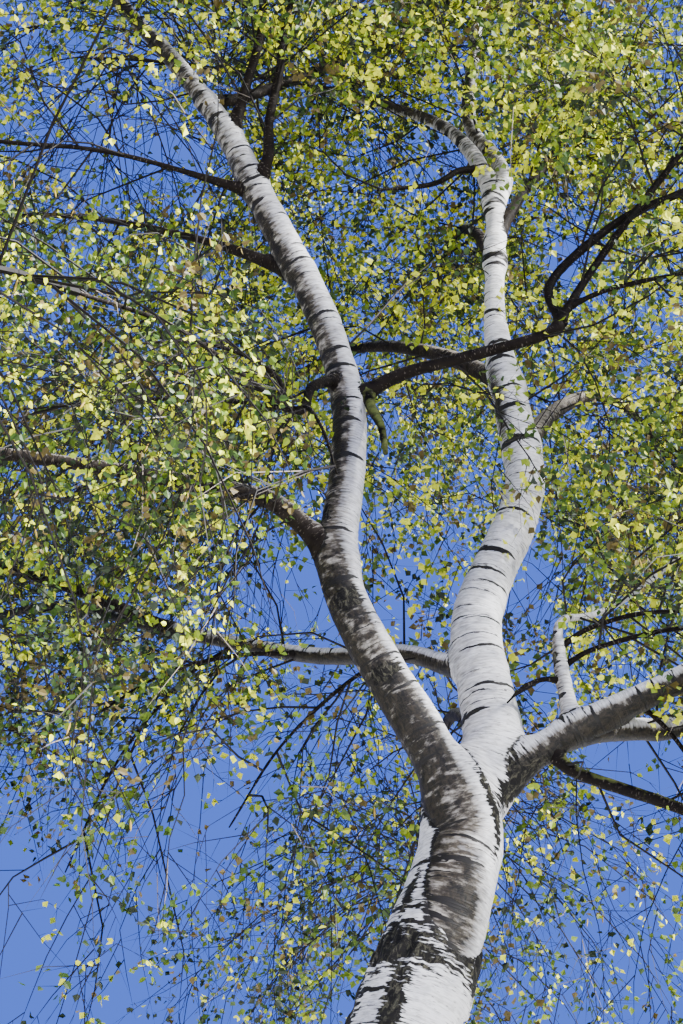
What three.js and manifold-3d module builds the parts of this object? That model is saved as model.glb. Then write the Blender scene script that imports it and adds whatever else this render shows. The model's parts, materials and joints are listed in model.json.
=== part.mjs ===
// A mature silver birch in spring, rooted in level ground.
// Units are millimetres, +Z is up, and the origin is on the ground under the middle of the trunk.
// Headings are degrees from +X towards +Y, and rises are degrees above level.

import * as THREE from 'three';
import { mergeVertices } from 'three/addons/utils/BufferGeometryUtils.js';
import Module from 'manifold-3d';

const wasm = await Module();
wasm.setup();

// Clearances: between touching limbs, between masses, and between leaves and limbs
const GAP = 0.3;
const CELL_MARGIN = 6;
const LIMB_CLEARANCE = 4;
const ROUNDING = 1.1;

// Trunk and limb sections
const TRUNK_SIDES = 16;
const STEM_SIDES = 8;
const BOUGH_SIDES = 5;
const RINGS_PER_LEG = 2;
const FLARE_DIAMETER = 270;
const FLARE_HEIGHT = 330;
const FLARE_LOBES = 5;
const FLARE_LOBE_DEPTH = 0.13;
const FLARE_RINGS = [0.15, 0.35, 0.6];

// Each foliage mass reaches out from a heart that lies past its limb's tip. Shares are of the reach.
const MASS_REACH = 1750;
const MASS_HEIGHT = 1.15;
const HEART_OUT = 0.3;
const HEART_DROP = 0.1;
const SKIRT_HEIGHT = 2900;

// One stem runs on from the limb, and side twigs leave it. Ranges are [least, most].
const TWIG_SIDES = 3;
const TWIG_TAPER = 0.45;
const STEM_TWIG = { diameter: 34, length: 1250, joints: 4, weep: 0.1 };
const SIDE_TWIG = {
  diameter: 28, length: [1015, 1670], joints: 4, weep: 0.5, rise: [-10, 60], turn: [-30, 30],
  along: [0.08, 0.92], scatter: [0, 0.15],
};
const SIDE_TWIGS = 6;
const SIDE_TWIG_TRIES = 16;
const GOLDEN_ANGLE = 137.5;
const GOLDEN_SHARE = 0.618;

// Each spray stands for many leaves
const SPRAY = { length: 860, width: 480, thickness: 26, widest: 0.42, rise: [-60, -30], along: [0.44, 0.97] };
const SPRAYS_PER_TWIG = 2;
const SPRAY_TRIES = 5;
const SPRAYS_PER_MASS = 10;

// Low boughs hang more: the hang is 0 at the high level and 1 at the low one.
const HANG_LEVELS = { high: 8500, low: 5600 };
const HANG = { drop: 0.45, rise: -35, length: 0.25 };

// Each mass has its own numbers for its twigs, and more for their sprays
const SEEDS_PER_MASS = 100;
const SPRAY_SEEDS = 50;

// The crown is thin in front of the stems: nothing hangs in the lines of sight from this point to them.
const LOOKOUT = new THREE.Vector3(450, -6100, 1600);
const SIGHT_CLEARANCE = 190;
const SIGHT_DEPTH = 350;

// Finishes
const PAPER_BARK = { color: 0xc9c8c9, roughness: 0.72 };
const BOUGH_BARK = { color: 0x5d544c, roughness: 0.85 };
const YOUNG_LEAF = { color: 0x9aab36, roughness: 0.6 };

// Limbs that show. Each starts at a share of its parent's length, keeps one heading and rises leg by leg.
// A leg is [length, rise]. The diameters are at even steps from root to tip.
const SHOWN_LIMBS = [
  {
    name: 'trunk', parent: null, share: 0, heading: 0, bark: PAPER_BARK, sides: TRUNK_SIDES,
    legs: [[1500, 86], [1500, 81], [1500, 76], [450, 73], [250, 75]],
    diameters: [500, 470, 440, 415, 390, 310],
  },
  {
    name: 'right_stem', parent: 'trunk', share: 1, heading: 0, bark: PAPER_BARK, sides: STEM_SIDES, foliage: true,
    legs: [[350, 70], [450, 95], [250, 80], [550, 70], [500, 93], [500, 95], [800, 88], [500, 108],
      [400, 145], [500, 160]],
    diameters: [250, 215, 190, 165, 150, 92, 86, 76, 50, 30],
  },
  {
    name: 'left_stem', parent: 'trunk', share: 0.95, aside: [60, -110, 0], heading: 200, bark: PAPER_BARK,
    sides: STEM_SIDES, foliage: true,
    legs: [[150, 95], [400, 65], [500, 60], [300, 75], [450, 95], [400, 90], [500, 75], [700, 65],
      [400, 65], [450, 55], [450, 50], [700, 65], [800, 75], [700, 80]],
    diameters: [180, 160, 135, 130, 62, 45, 28],
  },
  {
    name: 'right_leader', parent: 'right_stem', share: 0.7, heading: 0, foliage: true,
    legs: [[200, 70], [200, 105], [300, 110], [900, 85], [900, 95], [900, 85], [500, 95]],
    diameters: [78, 66, 52, 38, 26],
  },
  {
    name: 'right_bough', parent: 'right_stem', share: 0.02, heading: -15, foliage: true,
    legs: [[200, 30], [250, 30], [400, 20], [800, 20], [700, 0]],
    diameters: [125, 100, 85, 55],
  },
  {
    name: 'right_back_bough', parent: 'right_bough', share: 0.19, heading: 15,
    legs: [[250, 10], [250, 16], [900, 28], [500, 15]],
    diameters: [84, 76, 46],
  },
  {
    name: 'mossy_bough', parent: 'right_bough', share: 0.15, heading: -10, foliage: true,
    legs: [[150, -60], [450, -28], [500, -35]],
    diameters: [52, 42, 30],
  },
  {
    name: 'upright_bough', parent: 'right_bough', share: 0.19, heading: 20, bark: PAPER_BARK, foliage: true,
    legs: [[350, 95], [150, 80], [150, 25], [250, 38], [700, 45], [500, 20]],
    diameters: [66, 45, 34, 26],
  },
  {
    name: 'left_back_bough', parent: 'right_stem', share: 0.14, heading: 150, foliage: true,
    legs: [[150, 25], [250, 32], [450, 18], [850, 28], [700, 30], [600, 10]],
    diameters: [82, 66, 50, 36],
  },
  {
    name: 'left_low_bough', parent: 'left_stem', share: 0.19, heading: 200, foliage: true,
    legs: [[300, 45], [250, 10], [900, -5], [900, -12]],
    diameters: [84, 50, 34],
  },
  {
    name: 'middle_bough', parent: 'left_stem', share: 0.315, heading: -20,
    legs: [[250, 20], [250, 2], [350, 2], [100, 25]],
    diameters: [62, 50, 42],
  },
  {
    name: 'middle_upper_bough', parent: 'middle_bough', share: 1, heading: -10, foliage: true,
    legs: [[250, 95], [450, 45], [350, 25], [250, 60], [350, 95], [600, 85]],
    diameters: [40, 34, 24],
  },
  {
    name: 'middle_outer_bough', parent: 'middle_bough', share: 0.97, heading: -15, foliage: true,
    legs: [[300, 60], [450, 55], [700, 50], [600, 20]],
    diameters: [36, 30, 22],
  },
  {
    name: 'broken_hook', parent: 'middle_bough', share: 0.1, heading: -60,
    legs: [[120, -75], [180, -65], [160, -80]],
    diameters: [46, 38, 22],
  },
  {
    name: 'front_left_bough', parent: 'left_stem', share: 0.335, heading: 235, foliage: true,
    legs: [[300, -45], [250, -60], [700, -10], [600, -25]],
    diameters: [56, 46, 32],
  },
  {
    name: 'upper_left_bough', parent: 'left_stem', share: 0.49, heading: 195, foliage: true,
    legs: [[500, 8], [300, 0], [400, -10], [700, -5]],
    diameters: [58, 44, 28],
  },
  {
    name: 'front_upright_bough', parent: 'left_stem', share: 0.495, heading: -60, foliage: true,
    legs: [[150, 45], [250, 90], [300, 72], [350, 80], [900, 60], [700, 35]],
    diameters: [56, 46, 28],
  },
  {
    name: 'left_upright_bough', parent: 'left_stem', share: 0.54, heading: -60, foliage: true,
    legs: [[250, 60], [300, 62], [350, 85], [1100, 80]],
    diameters: [58, 46, 28],
  },
  {
    name: 'grey_bough', parent: 'left_stem', share: 0.575, heading: 40, foliage: true,
    legs: [[300, 45], [600, 52], [600, 55], [900, 50]],
    diameters: [56, 46, 28],
  },
  {
    name: 'upper_right_bough', parent: 'right_stem', share: 0.65, heading: 0, foliage: true,
    legs: [[350, 65], [350, 60], [550, 65], [400, 78], [800, 60]],
    diameters: [60, 48, 28],
  },
];

// Limbs past the edges of the view or behind leaves. Each is [name, parent, share, heading, rise, length].
const HIDDEN_LIMBS = [
  ['far_right_bough', 'right_back_bough', 0.97, 62, 28, 1500],
  ['front_right_bough', 'right_bough', 0.66, -72, 18, 2000],
  ['back_low_bough', 'right_stem', 0.06, 92, 42, 3000],
  ['left_far_bough', 'left_back_bough', 0.55, 188, 22, 1900],
  ['back_mid_bough', 'right_stem', 0.38, 62, 52, 3000],
  ['back_left_bough', 'right_stem', 0.46, 122, 50, 2900],
  ['left_mid_bough', 'left_stem', 0.42, 162, 38, 2500],
  ['back_high_bough', 'right_stem', 0.62, 95, 58, 2500],
  ['left_high_bough', 'left_stem', 0.7, 188, 42, 1900],
  ['top_back_bough', 'right_leader', 0.45, 120, 50, 1700],
];

// They all arch alike. A leg here is [share of the length, fall below the first rise].
const HIDDEN_LEGS = [[0.25, 0], [0.3, 8], [0.25, 22], [0.2, 40]];
const HIDDEN_SLENDERNESS = 34;
const HIDDEN_TIP = 28;

const UP = new THREE.Vector3(0, 0, 1);

// A repeatable stream of numbers from 0 to 1
function seeded(seed) {
  let state = (seed * 7919 + 104729) % 2147483647;
  return () => {
    state = (state * 16807) % 2147483647;
    return state / 2147483647;
  };
}

function within([least, most], share) {
  return THREE.MathUtils.lerp(least, most, share);
}

function direction(heading, rise) {
  const around = THREE.MathUtils.degToRad(heading);
  const above = THREE.MathUtils.degToRad(rise);
  return new THREE.Vector3(
    Math.cos(around) * Math.cos(above),
    Math.sin(around) * Math.cos(above),
    Math.sin(above),
  );
}

// A value at a share from 0 to 1 of an evenly spaced list
function valueAt(list, share) {
  const place = share * (list.length - 1);
  const before = Math.min(Math.floor(place), list.length - 2);
  return THREE.MathUtils.lerp(list[before], list[before + 1], place - before);
}

// The cylinder's rings are carried to the stations of a line and given their radii there.
function taperedTube(stations, radii, sides, lobes = () => 1) {
  const rings = stations.length - 1;
  const geometry = new THREE.CylinderGeometry(1, 1, 1, sides, rings);
  const position = geometry.attributes.position;
  const frames = carriedFrames(stations);
  const vertex = new THREE.Vector3();
  for (let i = 0; i < position.count; i++) {
    vertex.fromBufferAttribute(position, i);
    const ring = Math.round((vertex.y + 0.5) * rings);
    const { side, across } = frames[ring];
    const radius = radii[ring] * lobes(Math.atan2(vertex.z, vertex.x), stations[ring]);
    const place = stations[ring].clone();
    place.addScaledVector(side, vertex.x * radius);
    place.addScaledVector(across, vertex.z * radius);
    position.setXYZ(i, place.x, place.y, place.z);
  }
  return geometry;
}

// Frames that follow a line without twisting
function carriedFrames(stations) {
  const frames = [];
  let side = null;
  for (let i = 0; i < stations.length; i++) {
    const before = stations[Math.max(0, i - 1)];
    const after = stations[Math.min(stations.length - 1, i + 1)];
    const along = after.clone().sub(before).normalize();
    if (!side) {
      const reference = Math.abs(along.y) < 0.9 ? new THREE.Vector3(0, 1, 0) : new THREE.Vector3(1, 0, 0);
      side = reference.cross(along);
    }
    side = side.clone().addScaledVector(along, -side.dot(along)).normalize();
    const across = side.clone().cross(along);
    frames.push({ side, across });
  }
  return frames;
}

function solidFrom(geometry) {
  geometry.deleteAttribute('normal');
  geometry.deleteAttribute('uv');
  const merged = mergeVertices(geometry, 1e-3);
  const mesh = new wasm.Mesh({
    numProp: 3,
    vertProperties: new Float32Array(merged.attributes.position.array),
    triVerts: new Uint32Array(merged.index.array),
  });
  return new wasm.Manifold(mesh);
}

function geometryFrom(solid) {
  const mesh = solid.getMesh();
  const geometry = new THREE.BufferGeometry();
  geometry.setAttribute('position', new THREE.BufferAttribute(new Float32Array(mesh.vertProperties), 3));
  geometry.setIndex(new THREE.BufferAttribute(new Uint32Array(mesh.triVerts), 1));
  geometry.computeVertexNormals();
  return geometry;
}

// The largest of a solid's loose pieces
function largestPiece(solid) {
  const pieces = solid.decompose();
  pieces.sort((a, b) => b.volume() - a.volume());
  return pieces[0];
}

function boxesMeet(a, b) {
  const boxA = a.boundingBox();
  const boxB = b.boundingBox();
  return [0, 1, 2].every((axis) => boxA.min[axis] <= boxB.max[axis] && boxB.min[axis] <= boxA.max[axis]);
}

// Limbs

function hiddenLimb([name, parent, share, heading, rise, length]) {
  return {
    name, parent, share, heading, foliage: true,
    legs: HIDDEN_LEGS.map(([part, fall]) => [part * length, rise - fall]),
    diameters: [length / HIDDEN_SLENDERNESS, HIDDEN_TIP],
  };
}

function lengthsAlong(stations) {
  const run = [0];
  for (let i = 1; i < stations.length; i++) {
    run.push(run[i - 1] + stations[i].distanceTo(stations[i - 1]));
  }
  return run;
}

// The point at a share of a limb's length
function pointAt(limb, share) {
  const want = share * limb.run[limb.run.length - 1];
  let i = 0;
  while (i < limb.run.length - 2 && limb.run[i + 1] < want) {
    i += 1;
  }
  const part = (want - limb.run[i]) / (limb.run[i + 1] - limb.run[i]);
  return limb.stations[i].clone().lerp(limb.stations[i + 1], part);
}

function limbStations(row, start) {
  const corners = [start];
  for (const [length, rise] of row.legs) {
    const last = corners[corners.length - 1];
    corners.push(last.clone().addScaledVector(direction(row.heading, rise), length));
  }
  const curve = new THREE.CatmullRomCurve3(corners, false, 'catmullrom', 0.5);
  return curve.getPoints(row.legs.length * RINGS_PER_LEG);
}

// Buttresses that spread the foot of the trunk
function flareLobes(angle, station) {
  const near = Math.exp(-station.z / FLARE_HEIGHT);
  return 1 + FLARE_LOBE_DEPTH * near * Math.cos(FLARE_LOBES * angle);
}

function flatFoot(stations) {
  return stations.map((station) => Math.exp(-station.z / FLARE_HEIGHT) * FLARE_DIAMETER);
}

function limbTube(limb, extra) {
  const isTrunk = limb.parent === null;
  const flare = isTrunk ? flatFoot(limb.stations) : limb.stations.map(() => 0);
  const total = limb.run[limb.run.length - 1];
  const roundness = ROUNDING / Math.cos(Math.PI / limb.sides);
  const radii = limb.run.map((run, i) => (
    (valueAt(limb.diameters, run / total) + flare[i]) / 2 + extra * roundness
  ));
  const stations = limb.stations.map((station) => station.clone());
  const last = stations.length - 1;
  const tipward = stations[last].clone().sub(stations[last - 1]).normalize();
  const rootward = stations[0].clone().sub(stations[1]).normalize();
  stations[last].addScaledVector(tipward, extra);
  stations[0].addScaledVector(rootward, extra);
  return solidFrom(taperedTube(stations, radii, limb.sides, isTrunk ? flareLobes : undefined));
}

function buildLimbs() {
  const limbs = new Map();
  for (const row of [...SHOWN_LIMBS, ...HIDDEN_LIMBS.map(hiddenLimb)]) {
    const limb = { sides: BOUGH_SIDES, bark: BOUGH_BARK, ...row };
    const start = row.parent ? pointAt(limbs.get(row.parent), row.share) : new THREE.Vector3();
    start.add(new THREE.Vector3(...(row.aside ?? [0, 0, 0])));
    limb.stations = limbStations(row, start);
    if (row.parent === null) {
      limb.stations = withFlareRings(limb.stations);
    }
    limb.run = lengthsAlong(limb.stations);
    let solid = limbTube(limb, 0);
    for (const earlier of limbs.values()) {
      if (boxesMeet(solid, earlier.cutter)) {
        solid = largestPiece(solid.subtract(earlier.cutter));
      }
    }
    limb.solid = row.parent ? solid : levelFoot(solid);
    limb.cutter = limbTube(limb, GAP);
    limb.keepOut = limbTube(limb, LIMB_CLEARANCE);
    limbs.set(row.name, limb);
  }
  return limbs;
}

// Extra rings near the ground, where the flare curves most
function withFlareRings(stations) {
  const [foot, next] = stations;
  const extra = FLARE_RINGS.map((share) => foot.clone().lerp(next, share));
  return [foot, ...extra, ...stations.slice(1)];
}

// The trunk is cut flat at ground level.
function levelFoot(solid) {
  const side = 4000;
  const ground = new THREE.BoxGeometry(side, side, side);
  ground.translate(0, 0, -side / 2);
  return largestPiece(solid.subtract(solidFrom(ground)));
}

// Foliage masses

function heartOf(limb) {
  const last = limb.stations.length - 1;
  const tip = limb.stations[last];
  const leaving = tip.clone().sub(limb.stations[last - 1]).normalize();
  const { high, low } = HANG_LEVELS;
  const hang = THREE.MathUtils.clamp((high - tip.z) / (high - low), 0, 1);
  const heart = tip.clone().addScaledVector(leaving, HEART_OUT * MASS_REACH);
  heart.z -= (HEART_DROP + HANG.drop * hang) * MASS_REACH;
  return { name: `${limb.name}_foliage`, limb, tip, leaving, heart, hang };
}

// A mass keeps to the part of the crown that is nearest to its own heart, and to its reach.
function inSpace(mass, masses, point) {
  const away = point.clone().sub(mass.heart);
  away.z /= MASS_HEIGHT;
  if (away.length() > MASS_REACH || point.z < SKIRT_HEIGHT) {
    return false;
  }
  for (const other of masses) {
    if (other === mass) {
      continue;
    }
    const between = other.heart.clone().sub(mass.heart);
    const half = between.length() / 2;
    if (point.clone().sub(mass.heart).dot(between.normalize()) > half - CELL_MARGIN) {
      return false;
    }
  }
  return true;
}

// Whether a point hangs in front of the trunk or a stem, seen from the lookout
function inSight(sightPoints, point) {
  const fromLookout = point.clone().sub(LOOKOUT);
  for (const target of sightPoints) {
    if (point.y > target.y - SIGHT_DEPTH) {
      continue;
    }
    const line = target.clone().sub(LOOKOUT).normalize();
    const along = fromLookout.dot(line);
    const off = Math.sqrt(Math.max(0, fromLookout.lengthSq() - along * along));
    if (off < SIGHT_CLEARANCE) {
      return true;
    }
  }
  return false;
}

function verticesOf(geometry) {
  const position = geometry.attributes.position;
  const points = [];
  for (let i = 0; i < position.count; i++) {
    points.push(new THREE.Vector3().fromBufferAttribute(position, i));
  }
  return points;
}

function fits(mass, crown, geometry, solid) {
  const inside = verticesOf(geometry).every((point) => (
    inSpace(mass, crown.masses, point) && !inSight(crown.sightPoints, point)
  ));
  return inside && crown.limbs.every((limb) => isClear(solid, limb.keepOut));
}

function isClear(solid, other) {
  return !boxesMeet(solid, other) || solid.intersect(other).isEmpty();
}

// A line that sags a little more at each joint
function twigLine(start, leaving, length, joints, weep) {
  const line = [start.clone()];
  const heading = leaving.clone().normalize();
  for (let i = 0; i < joints; i++) {
    line.push(line[i].clone().addScaledVector(heading, length / joints));
    heading.addScaledVector(UP, -weep).normalize();
  }
  return line;
}

// A three-sided twig that ends in a point
function twigTube(line, diameter) {
  const last = line.length - 1;
  const radii = line.map((_, i) => (i === last ? 0 : diameter / 2 * (1 - TWIG_TAPER * i / last)));
  return taperedTube(line, radii, TWIG_SIDES);
}

function everyOther(line) {
  return line.filter((_, i) => i % 2 === 0);
}

// One flat spray of leaves: pointed at both ends and widest below the middle
function sprayBlade(root, hanging, turn) {
  const geometry = new THREE.OctahedronGeometry(1, 0);
  const position = geometry.attributes.position;
  for (let i = 0; i < position.count; i++) {
    const rim = Math.abs(position.getY(i)) < 0.5;
    position.setY(i, rim ? SPRAY.widest : (position.getY(i) + 1) / 2);
  }
  geometry.scale(SPRAY.width / 2, SPRAY.length, SPRAY.thickness / 2);
  geometry.rotateY(turn);
  const swing = new THREE.Quaternion().setFromUnitVectors(new THREE.Vector3(0, 1, 0), hanging);
  geometry.applyQuaternion(swing);
  geometry.translate(root.x, root.y, root.z);
  return geometry;
}

// The point at a share of a twig's joints
function pointOn(line, share) {
  const place = share * (line.length - 1);
  const before = Math.min(Math.floor(place), line.length - 2);
  return line[before].clone().lerp(line[before + 1], place - before);
}

function sideTwigLine(mass, stem, index) {
  const random = seeded(mass.seed * SEEDS_PER_MASS + index);
  const share = (index * GOLDEN_SHARE + within(SIDE_TWIG.scatter, random())) % 1;
  const start = pointOn(stem, within(SIDE_TWIG.along, share));
  const around = GOLDEN_ANGLE * index + within(SIDE_TWIG.turn, random());
  const rise = within(SIDE_TWIG.rise, random()) + HANG.rise * mass.hang;
  const length = within(SIDE_TWIG.length, random()) * (1 + HANG.length * mass.hang);
  return twigLine(start, direction(around, rise), length, SIDE_TWIG.joints, SIDE_TWIG.weep);
}

function spraysOn(mass, line, index) {
  const random = seeded(mass.seed * SEEDS_PER_MASS + SPRAY_SEEDS + index);
  const sprays = [];
  for (let i = 0; i < SPRAY_TRIES; i++) {
    const root = pointOn(line, within(SPRAY.along, i / (SPRAY_TRIES - 1)));
    const hanging = direction(360 * random(), within(SPRAY.rise, random()));
    sprays.push(sprayBlade(root, hanging, Math.PI * random()));
  }
  return sprays;
}

function buildMass(mass, crown) {
  const stem = twigLine(mass.tip, mass.leaving, STEM_TWIG.length, STEM_TWIG.joints, STEM_TWIG.weep);
  let solid = solidFrom(twigTube(everyOther(stem), STEM_TWIG.diameter));
  const sprays = [];
  let twigs = 0;
  for (let i = 0; i < SIDE_TWIG_TRIES && twigs < SIDE_TWIGS; i++) {
    const line = everyOther(sideTwigLine(mass, stem, i));
    const tube = twigTube(line, SIDE_TWIG.diameter);
    const twig = solidFrom(tube.clone());
    if (!fits(mass, crown, tube, twig) || !sprays.every((spray) => isClear(twig, spray))) {
      continue;
    }
    const onTwig = [];
    for (const blade of spraysOn(mass, line, i)) {
      const spray = solidFrom(blade.clone());
      const neighbours = [solid, ...onTwig];
      const wanted = onTwig.length < SPRAYS_PER_TWIG && sprays.length + onTwig.length < SPRAYS_PER_MASS;
      if (wanted && fits(mass, crown, blade, spray) && neighbours.every((other) => isClear(spray, other))) {
        onTwig.push(spray);
      }
    }
    sprays.push(...onTwig);
    solid = onTwig.reduce((whole, spray) => whole.add(spray), solid.add(twig));
    twigs += 1;
  }
  return largestPiece(solid.subtract(mass.limb.cutter));
}

function makeMesh(name, solid, finish) {
  const material = new THREE.MeshStandardMaterial({ ...finish, metalness: 0, flatShading: true });
  const mesh = new THREE.Mesh(geometryFrom(solid), material);
  mesh.name = name;
  return mesh;
}

const tree = new THREE.Group();
const limbs = buildLimbs();
for (const limb of limbs.values()) {
  tree.add(makeMesh(limb.name, limb.solid, limb.bark));
}

const masses = [...limbs.values()].filter((limb) => limb.foliage).map(heartOf);
masses.forEach((mass, index) => {
  mass.seed = index + 1;
});
const sightLimbs = ['trunk', 'left_stem', 'right_stem'].map((name) => limbs.get(name));
const crown = {
  masses,
  limbs: [...limbs.values()],
  sightPoints: sightLimbs.flatMap((limb) => limb.stations),
};
for (const mass of masses) {
  tree.add(makeMesh(mass.name, buildMass(mass, crown), YOUNG_LEAF));
}

export default tree;
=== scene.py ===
# A mature silver birch in spring, rooted in level ground and seen from close under its crown.
# Metres, +Z up, with the origin on the ground under the middle of the trunk.
# Headings are degrees from +X towards +Y, and rises are degrees above level.

import functools
import itertools
import json
import math
from dataclasses import dataclass, field

import bpy
import numpy as np
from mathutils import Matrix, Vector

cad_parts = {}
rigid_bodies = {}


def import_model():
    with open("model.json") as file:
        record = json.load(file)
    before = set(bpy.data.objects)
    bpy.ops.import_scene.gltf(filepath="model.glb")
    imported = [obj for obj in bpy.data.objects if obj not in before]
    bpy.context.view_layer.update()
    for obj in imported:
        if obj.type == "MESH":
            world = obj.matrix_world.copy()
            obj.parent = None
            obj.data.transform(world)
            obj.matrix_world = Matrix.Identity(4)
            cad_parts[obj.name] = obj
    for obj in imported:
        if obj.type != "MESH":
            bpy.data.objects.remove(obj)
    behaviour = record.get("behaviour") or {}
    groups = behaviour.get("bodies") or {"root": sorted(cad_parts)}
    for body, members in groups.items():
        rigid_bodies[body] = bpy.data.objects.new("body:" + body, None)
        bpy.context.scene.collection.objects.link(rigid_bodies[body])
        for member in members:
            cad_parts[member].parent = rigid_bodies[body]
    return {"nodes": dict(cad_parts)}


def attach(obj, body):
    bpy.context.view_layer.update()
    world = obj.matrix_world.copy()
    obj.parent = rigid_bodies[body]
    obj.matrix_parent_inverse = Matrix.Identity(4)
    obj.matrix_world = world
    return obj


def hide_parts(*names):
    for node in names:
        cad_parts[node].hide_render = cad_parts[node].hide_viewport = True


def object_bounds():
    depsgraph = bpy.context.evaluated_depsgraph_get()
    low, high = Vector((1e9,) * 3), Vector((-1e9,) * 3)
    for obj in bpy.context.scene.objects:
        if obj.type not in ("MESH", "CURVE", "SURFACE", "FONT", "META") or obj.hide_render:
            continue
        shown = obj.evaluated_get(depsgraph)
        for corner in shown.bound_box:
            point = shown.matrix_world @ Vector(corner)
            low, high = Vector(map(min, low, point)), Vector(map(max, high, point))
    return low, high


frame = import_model()
cad_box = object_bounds()

UP = np.array([0.0, 0.0, 1.0])


# Camera, light and floor

PICTURE_WIDTH = 683
PICTURE_HEIGHT = 1024
LOOKOUT = np.array([0.45, -6.1, 1.6])
LOOKOUT_RISE = 39
LENS = 66.8
SENSOR = 36
FOCAL_PIXELS = LENS / SENSOR * PICTURE_HEIGHT

SUN_FROM = np.array([0.80, -0.42, 0.52])
SUN_STRENGTH = 28
SUN_SOFTNESS = 6
SKY_LIGHT = "#567CFC"
SKY_STRENGTH = 1.08
FLOOR_SIZE = 500
FARTHEST_SEEN = 200
FLOOR_TONE = "#D9D8D2"


def in_picture(points):
    """Column, row and depth of each point, seen from the lookout."""
    rise = math.radians(LOOKOUT_RISE)
    away = points - LOOKOUT
    depth = away[..., 1] * math.cos(rise) + away[..., 2] * math.sin(rise)
    height = away[..., 2] * math.cos(rise) - away[..., 1] * math.sin(rise)
    safe_depth = np.maximum(depth, 0.1)
    column = PICTURE_WIDTH / 2 + FOCAL_PIXELS * away[..., 0] / safe_depth
    row = PICTURE_HEIGHT / 2 - FOCAL_PIXELS * height / safe_depth
    return column, row, depth


def linear(hex_colour):
    """Linear RGBA of an sRGB hex value."""
    channels = [int(hex_colour[i:i + 2], 16) / 255 for i in (1, 3, 5)]
    return (*(c / 12.92 if c <= 0.04045 else ((c + 0.055) / 1.055) ** 2.4 for c in channels), 1.0)


def show(name, data):
    """Puts a mesh, a lamp or a camera in the scene."""
    made = bpy.data.objects.new(name, data)
    bpy.context.scene.collection.objects.link(made)
    return made


def place_camera():
    """The lookout close under the crown, tilted up at it."""
    camera = show("camera", bpy.data.cameras.new("camera"))
    camera.data.lens = LENS
    camera.data.sensor_width = SENSOR
    camera.data.sensor_fit = "AUTO"
    camera.data.clip_end = FARTHEST_SEEN
    camera.location = LOOKOUT
    camera.rotation_euler = (math.radians(90 + LOOKOUT_RISE), 0, 0)
    bpy.context.scene.camera = camera


def place_light():
    """A broad lamp high on the right and a plain blue sky. The pale floor throws light back up."""
    sun = show("sun_lamp", bpy.data.lights.new("sun_lamp", "SUN"))
    sun.data.energy = SUN_STRENGTH
    sun.data.angle = math.radians(SUN_SOFTNESS)
    bearing = math.atan2(SUN_FROM[1], SUN_FROM[0])
    slope = math.acos(SUN_FROM[2] / np.linalg.norm(SUN_FROM))
    sun.rotation_euler = (0, slope, bearing)
    world = bpy.data.worlds.new("blue_sky")
    world.use_nodes = True
    background = world.node_tree.nodes["Background"]
    background.inputs["Color"].default_value = linear(SKY_LIGHT)
    background.inputs["Strength"].default_value = SKY_STRENGTH
    bpy.context.scene.world = world


def place_floor():
    """A plain pale matt floor, so wide that its edge doesn't show from the lookout."""
    half = FLOOR_SIZE / 2
    corners = [(-half, -half, 0), (half, -half, 0), (half, half, 0), (-half, half, 0)]
    mesh = bpy.data.meshes.new("floor")
    mesh.from_pydata(corners, [], [(0, 1, 2, 3)])
    floor = show("floor", mesh)
    material, _, surface = new_material("matt_floor", roughness=0.95)
    surface.inputs["Base Color"].default_value = linear(FLOOR_TONE)
    mesh.materials.append(material)


# Nodes and meshes


def add_node(tree, kind, inputs=None, **settings):
    """A node with its settings. An input takes a value, a hex colour, or a socket to link it from."""
    node = tree.nodes.new(kind)
    for name, value in settings.items():
        setattr(node, name, value)
    for name, value in (inputs or {}).items():
        if isinstance(value, bpy.types.NodeSocket):
            tree.links.new(value, node.inputs[name])
        else:
            node.inputs[name].default_value = linear(value) if isinstance(value, str) else value
    return node


def new_material(name, roughness, specular=0.5):
    """A material with constant gloss on the shader's own sockets."""
    material = bpy.data.materials.new(name)
    material.use_nodes = True
    tree = material.node_tree
    surface = tree.nodes["Principled BSDF"]
    surface.inputs["Roughness"].default_value = roughness
    surface.inputs["Specular IOR Level"].default_value = specular
    return material, tree, surface


def mesh_from(name, vertices, triangles, smooth):
    """A mesh from an array of places and an array of triangles."""
    mesh = bpy.data.meshes.new(name)
    mesh.vertices.add(len(vertices))
    mesh.vertices.foreach_set("co", vertices.astype(np.float32).ravel())
    mesh.loops.add(triangles.size)
    mesh.loops.foreach_set("vertex_index", triangles.astype(np.int32).ravel())
    mesh.polygons.add(len(triangles))
    mesh.polygons.foreach_set("loop_start", np.arange(0, triangles.size, 3, dtype=np.int32))
    mesh.polygons.foreach_set("use_smooth", np.full(len(triangles), smooth))
    mesh.update(calc_edges=True)
    mesh.validate()
    return mesh


def give(mesh, name, values):
    """Stores a number or a vector at each vertex."""
    kind = "FLOAT" if values.ndim == 1 else "FLOAT_VECTOR"
    attribute = mesh.attributes.new(name, kind, "POINT")
    attribute.data.foreach_set("value" if values.ndim == 1 else "vector", values.astype(np.float32).ravel())


def settle(piece, material, slot, *nodes):
    """Gives a piece its material, its place on the tree and the nodes that it stands for."""
    piece.data.materials.clear()
    piece.data.materials.append(material)
    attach(piece, "root")
    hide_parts(*nodes)
    return piece


# Limbs

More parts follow.
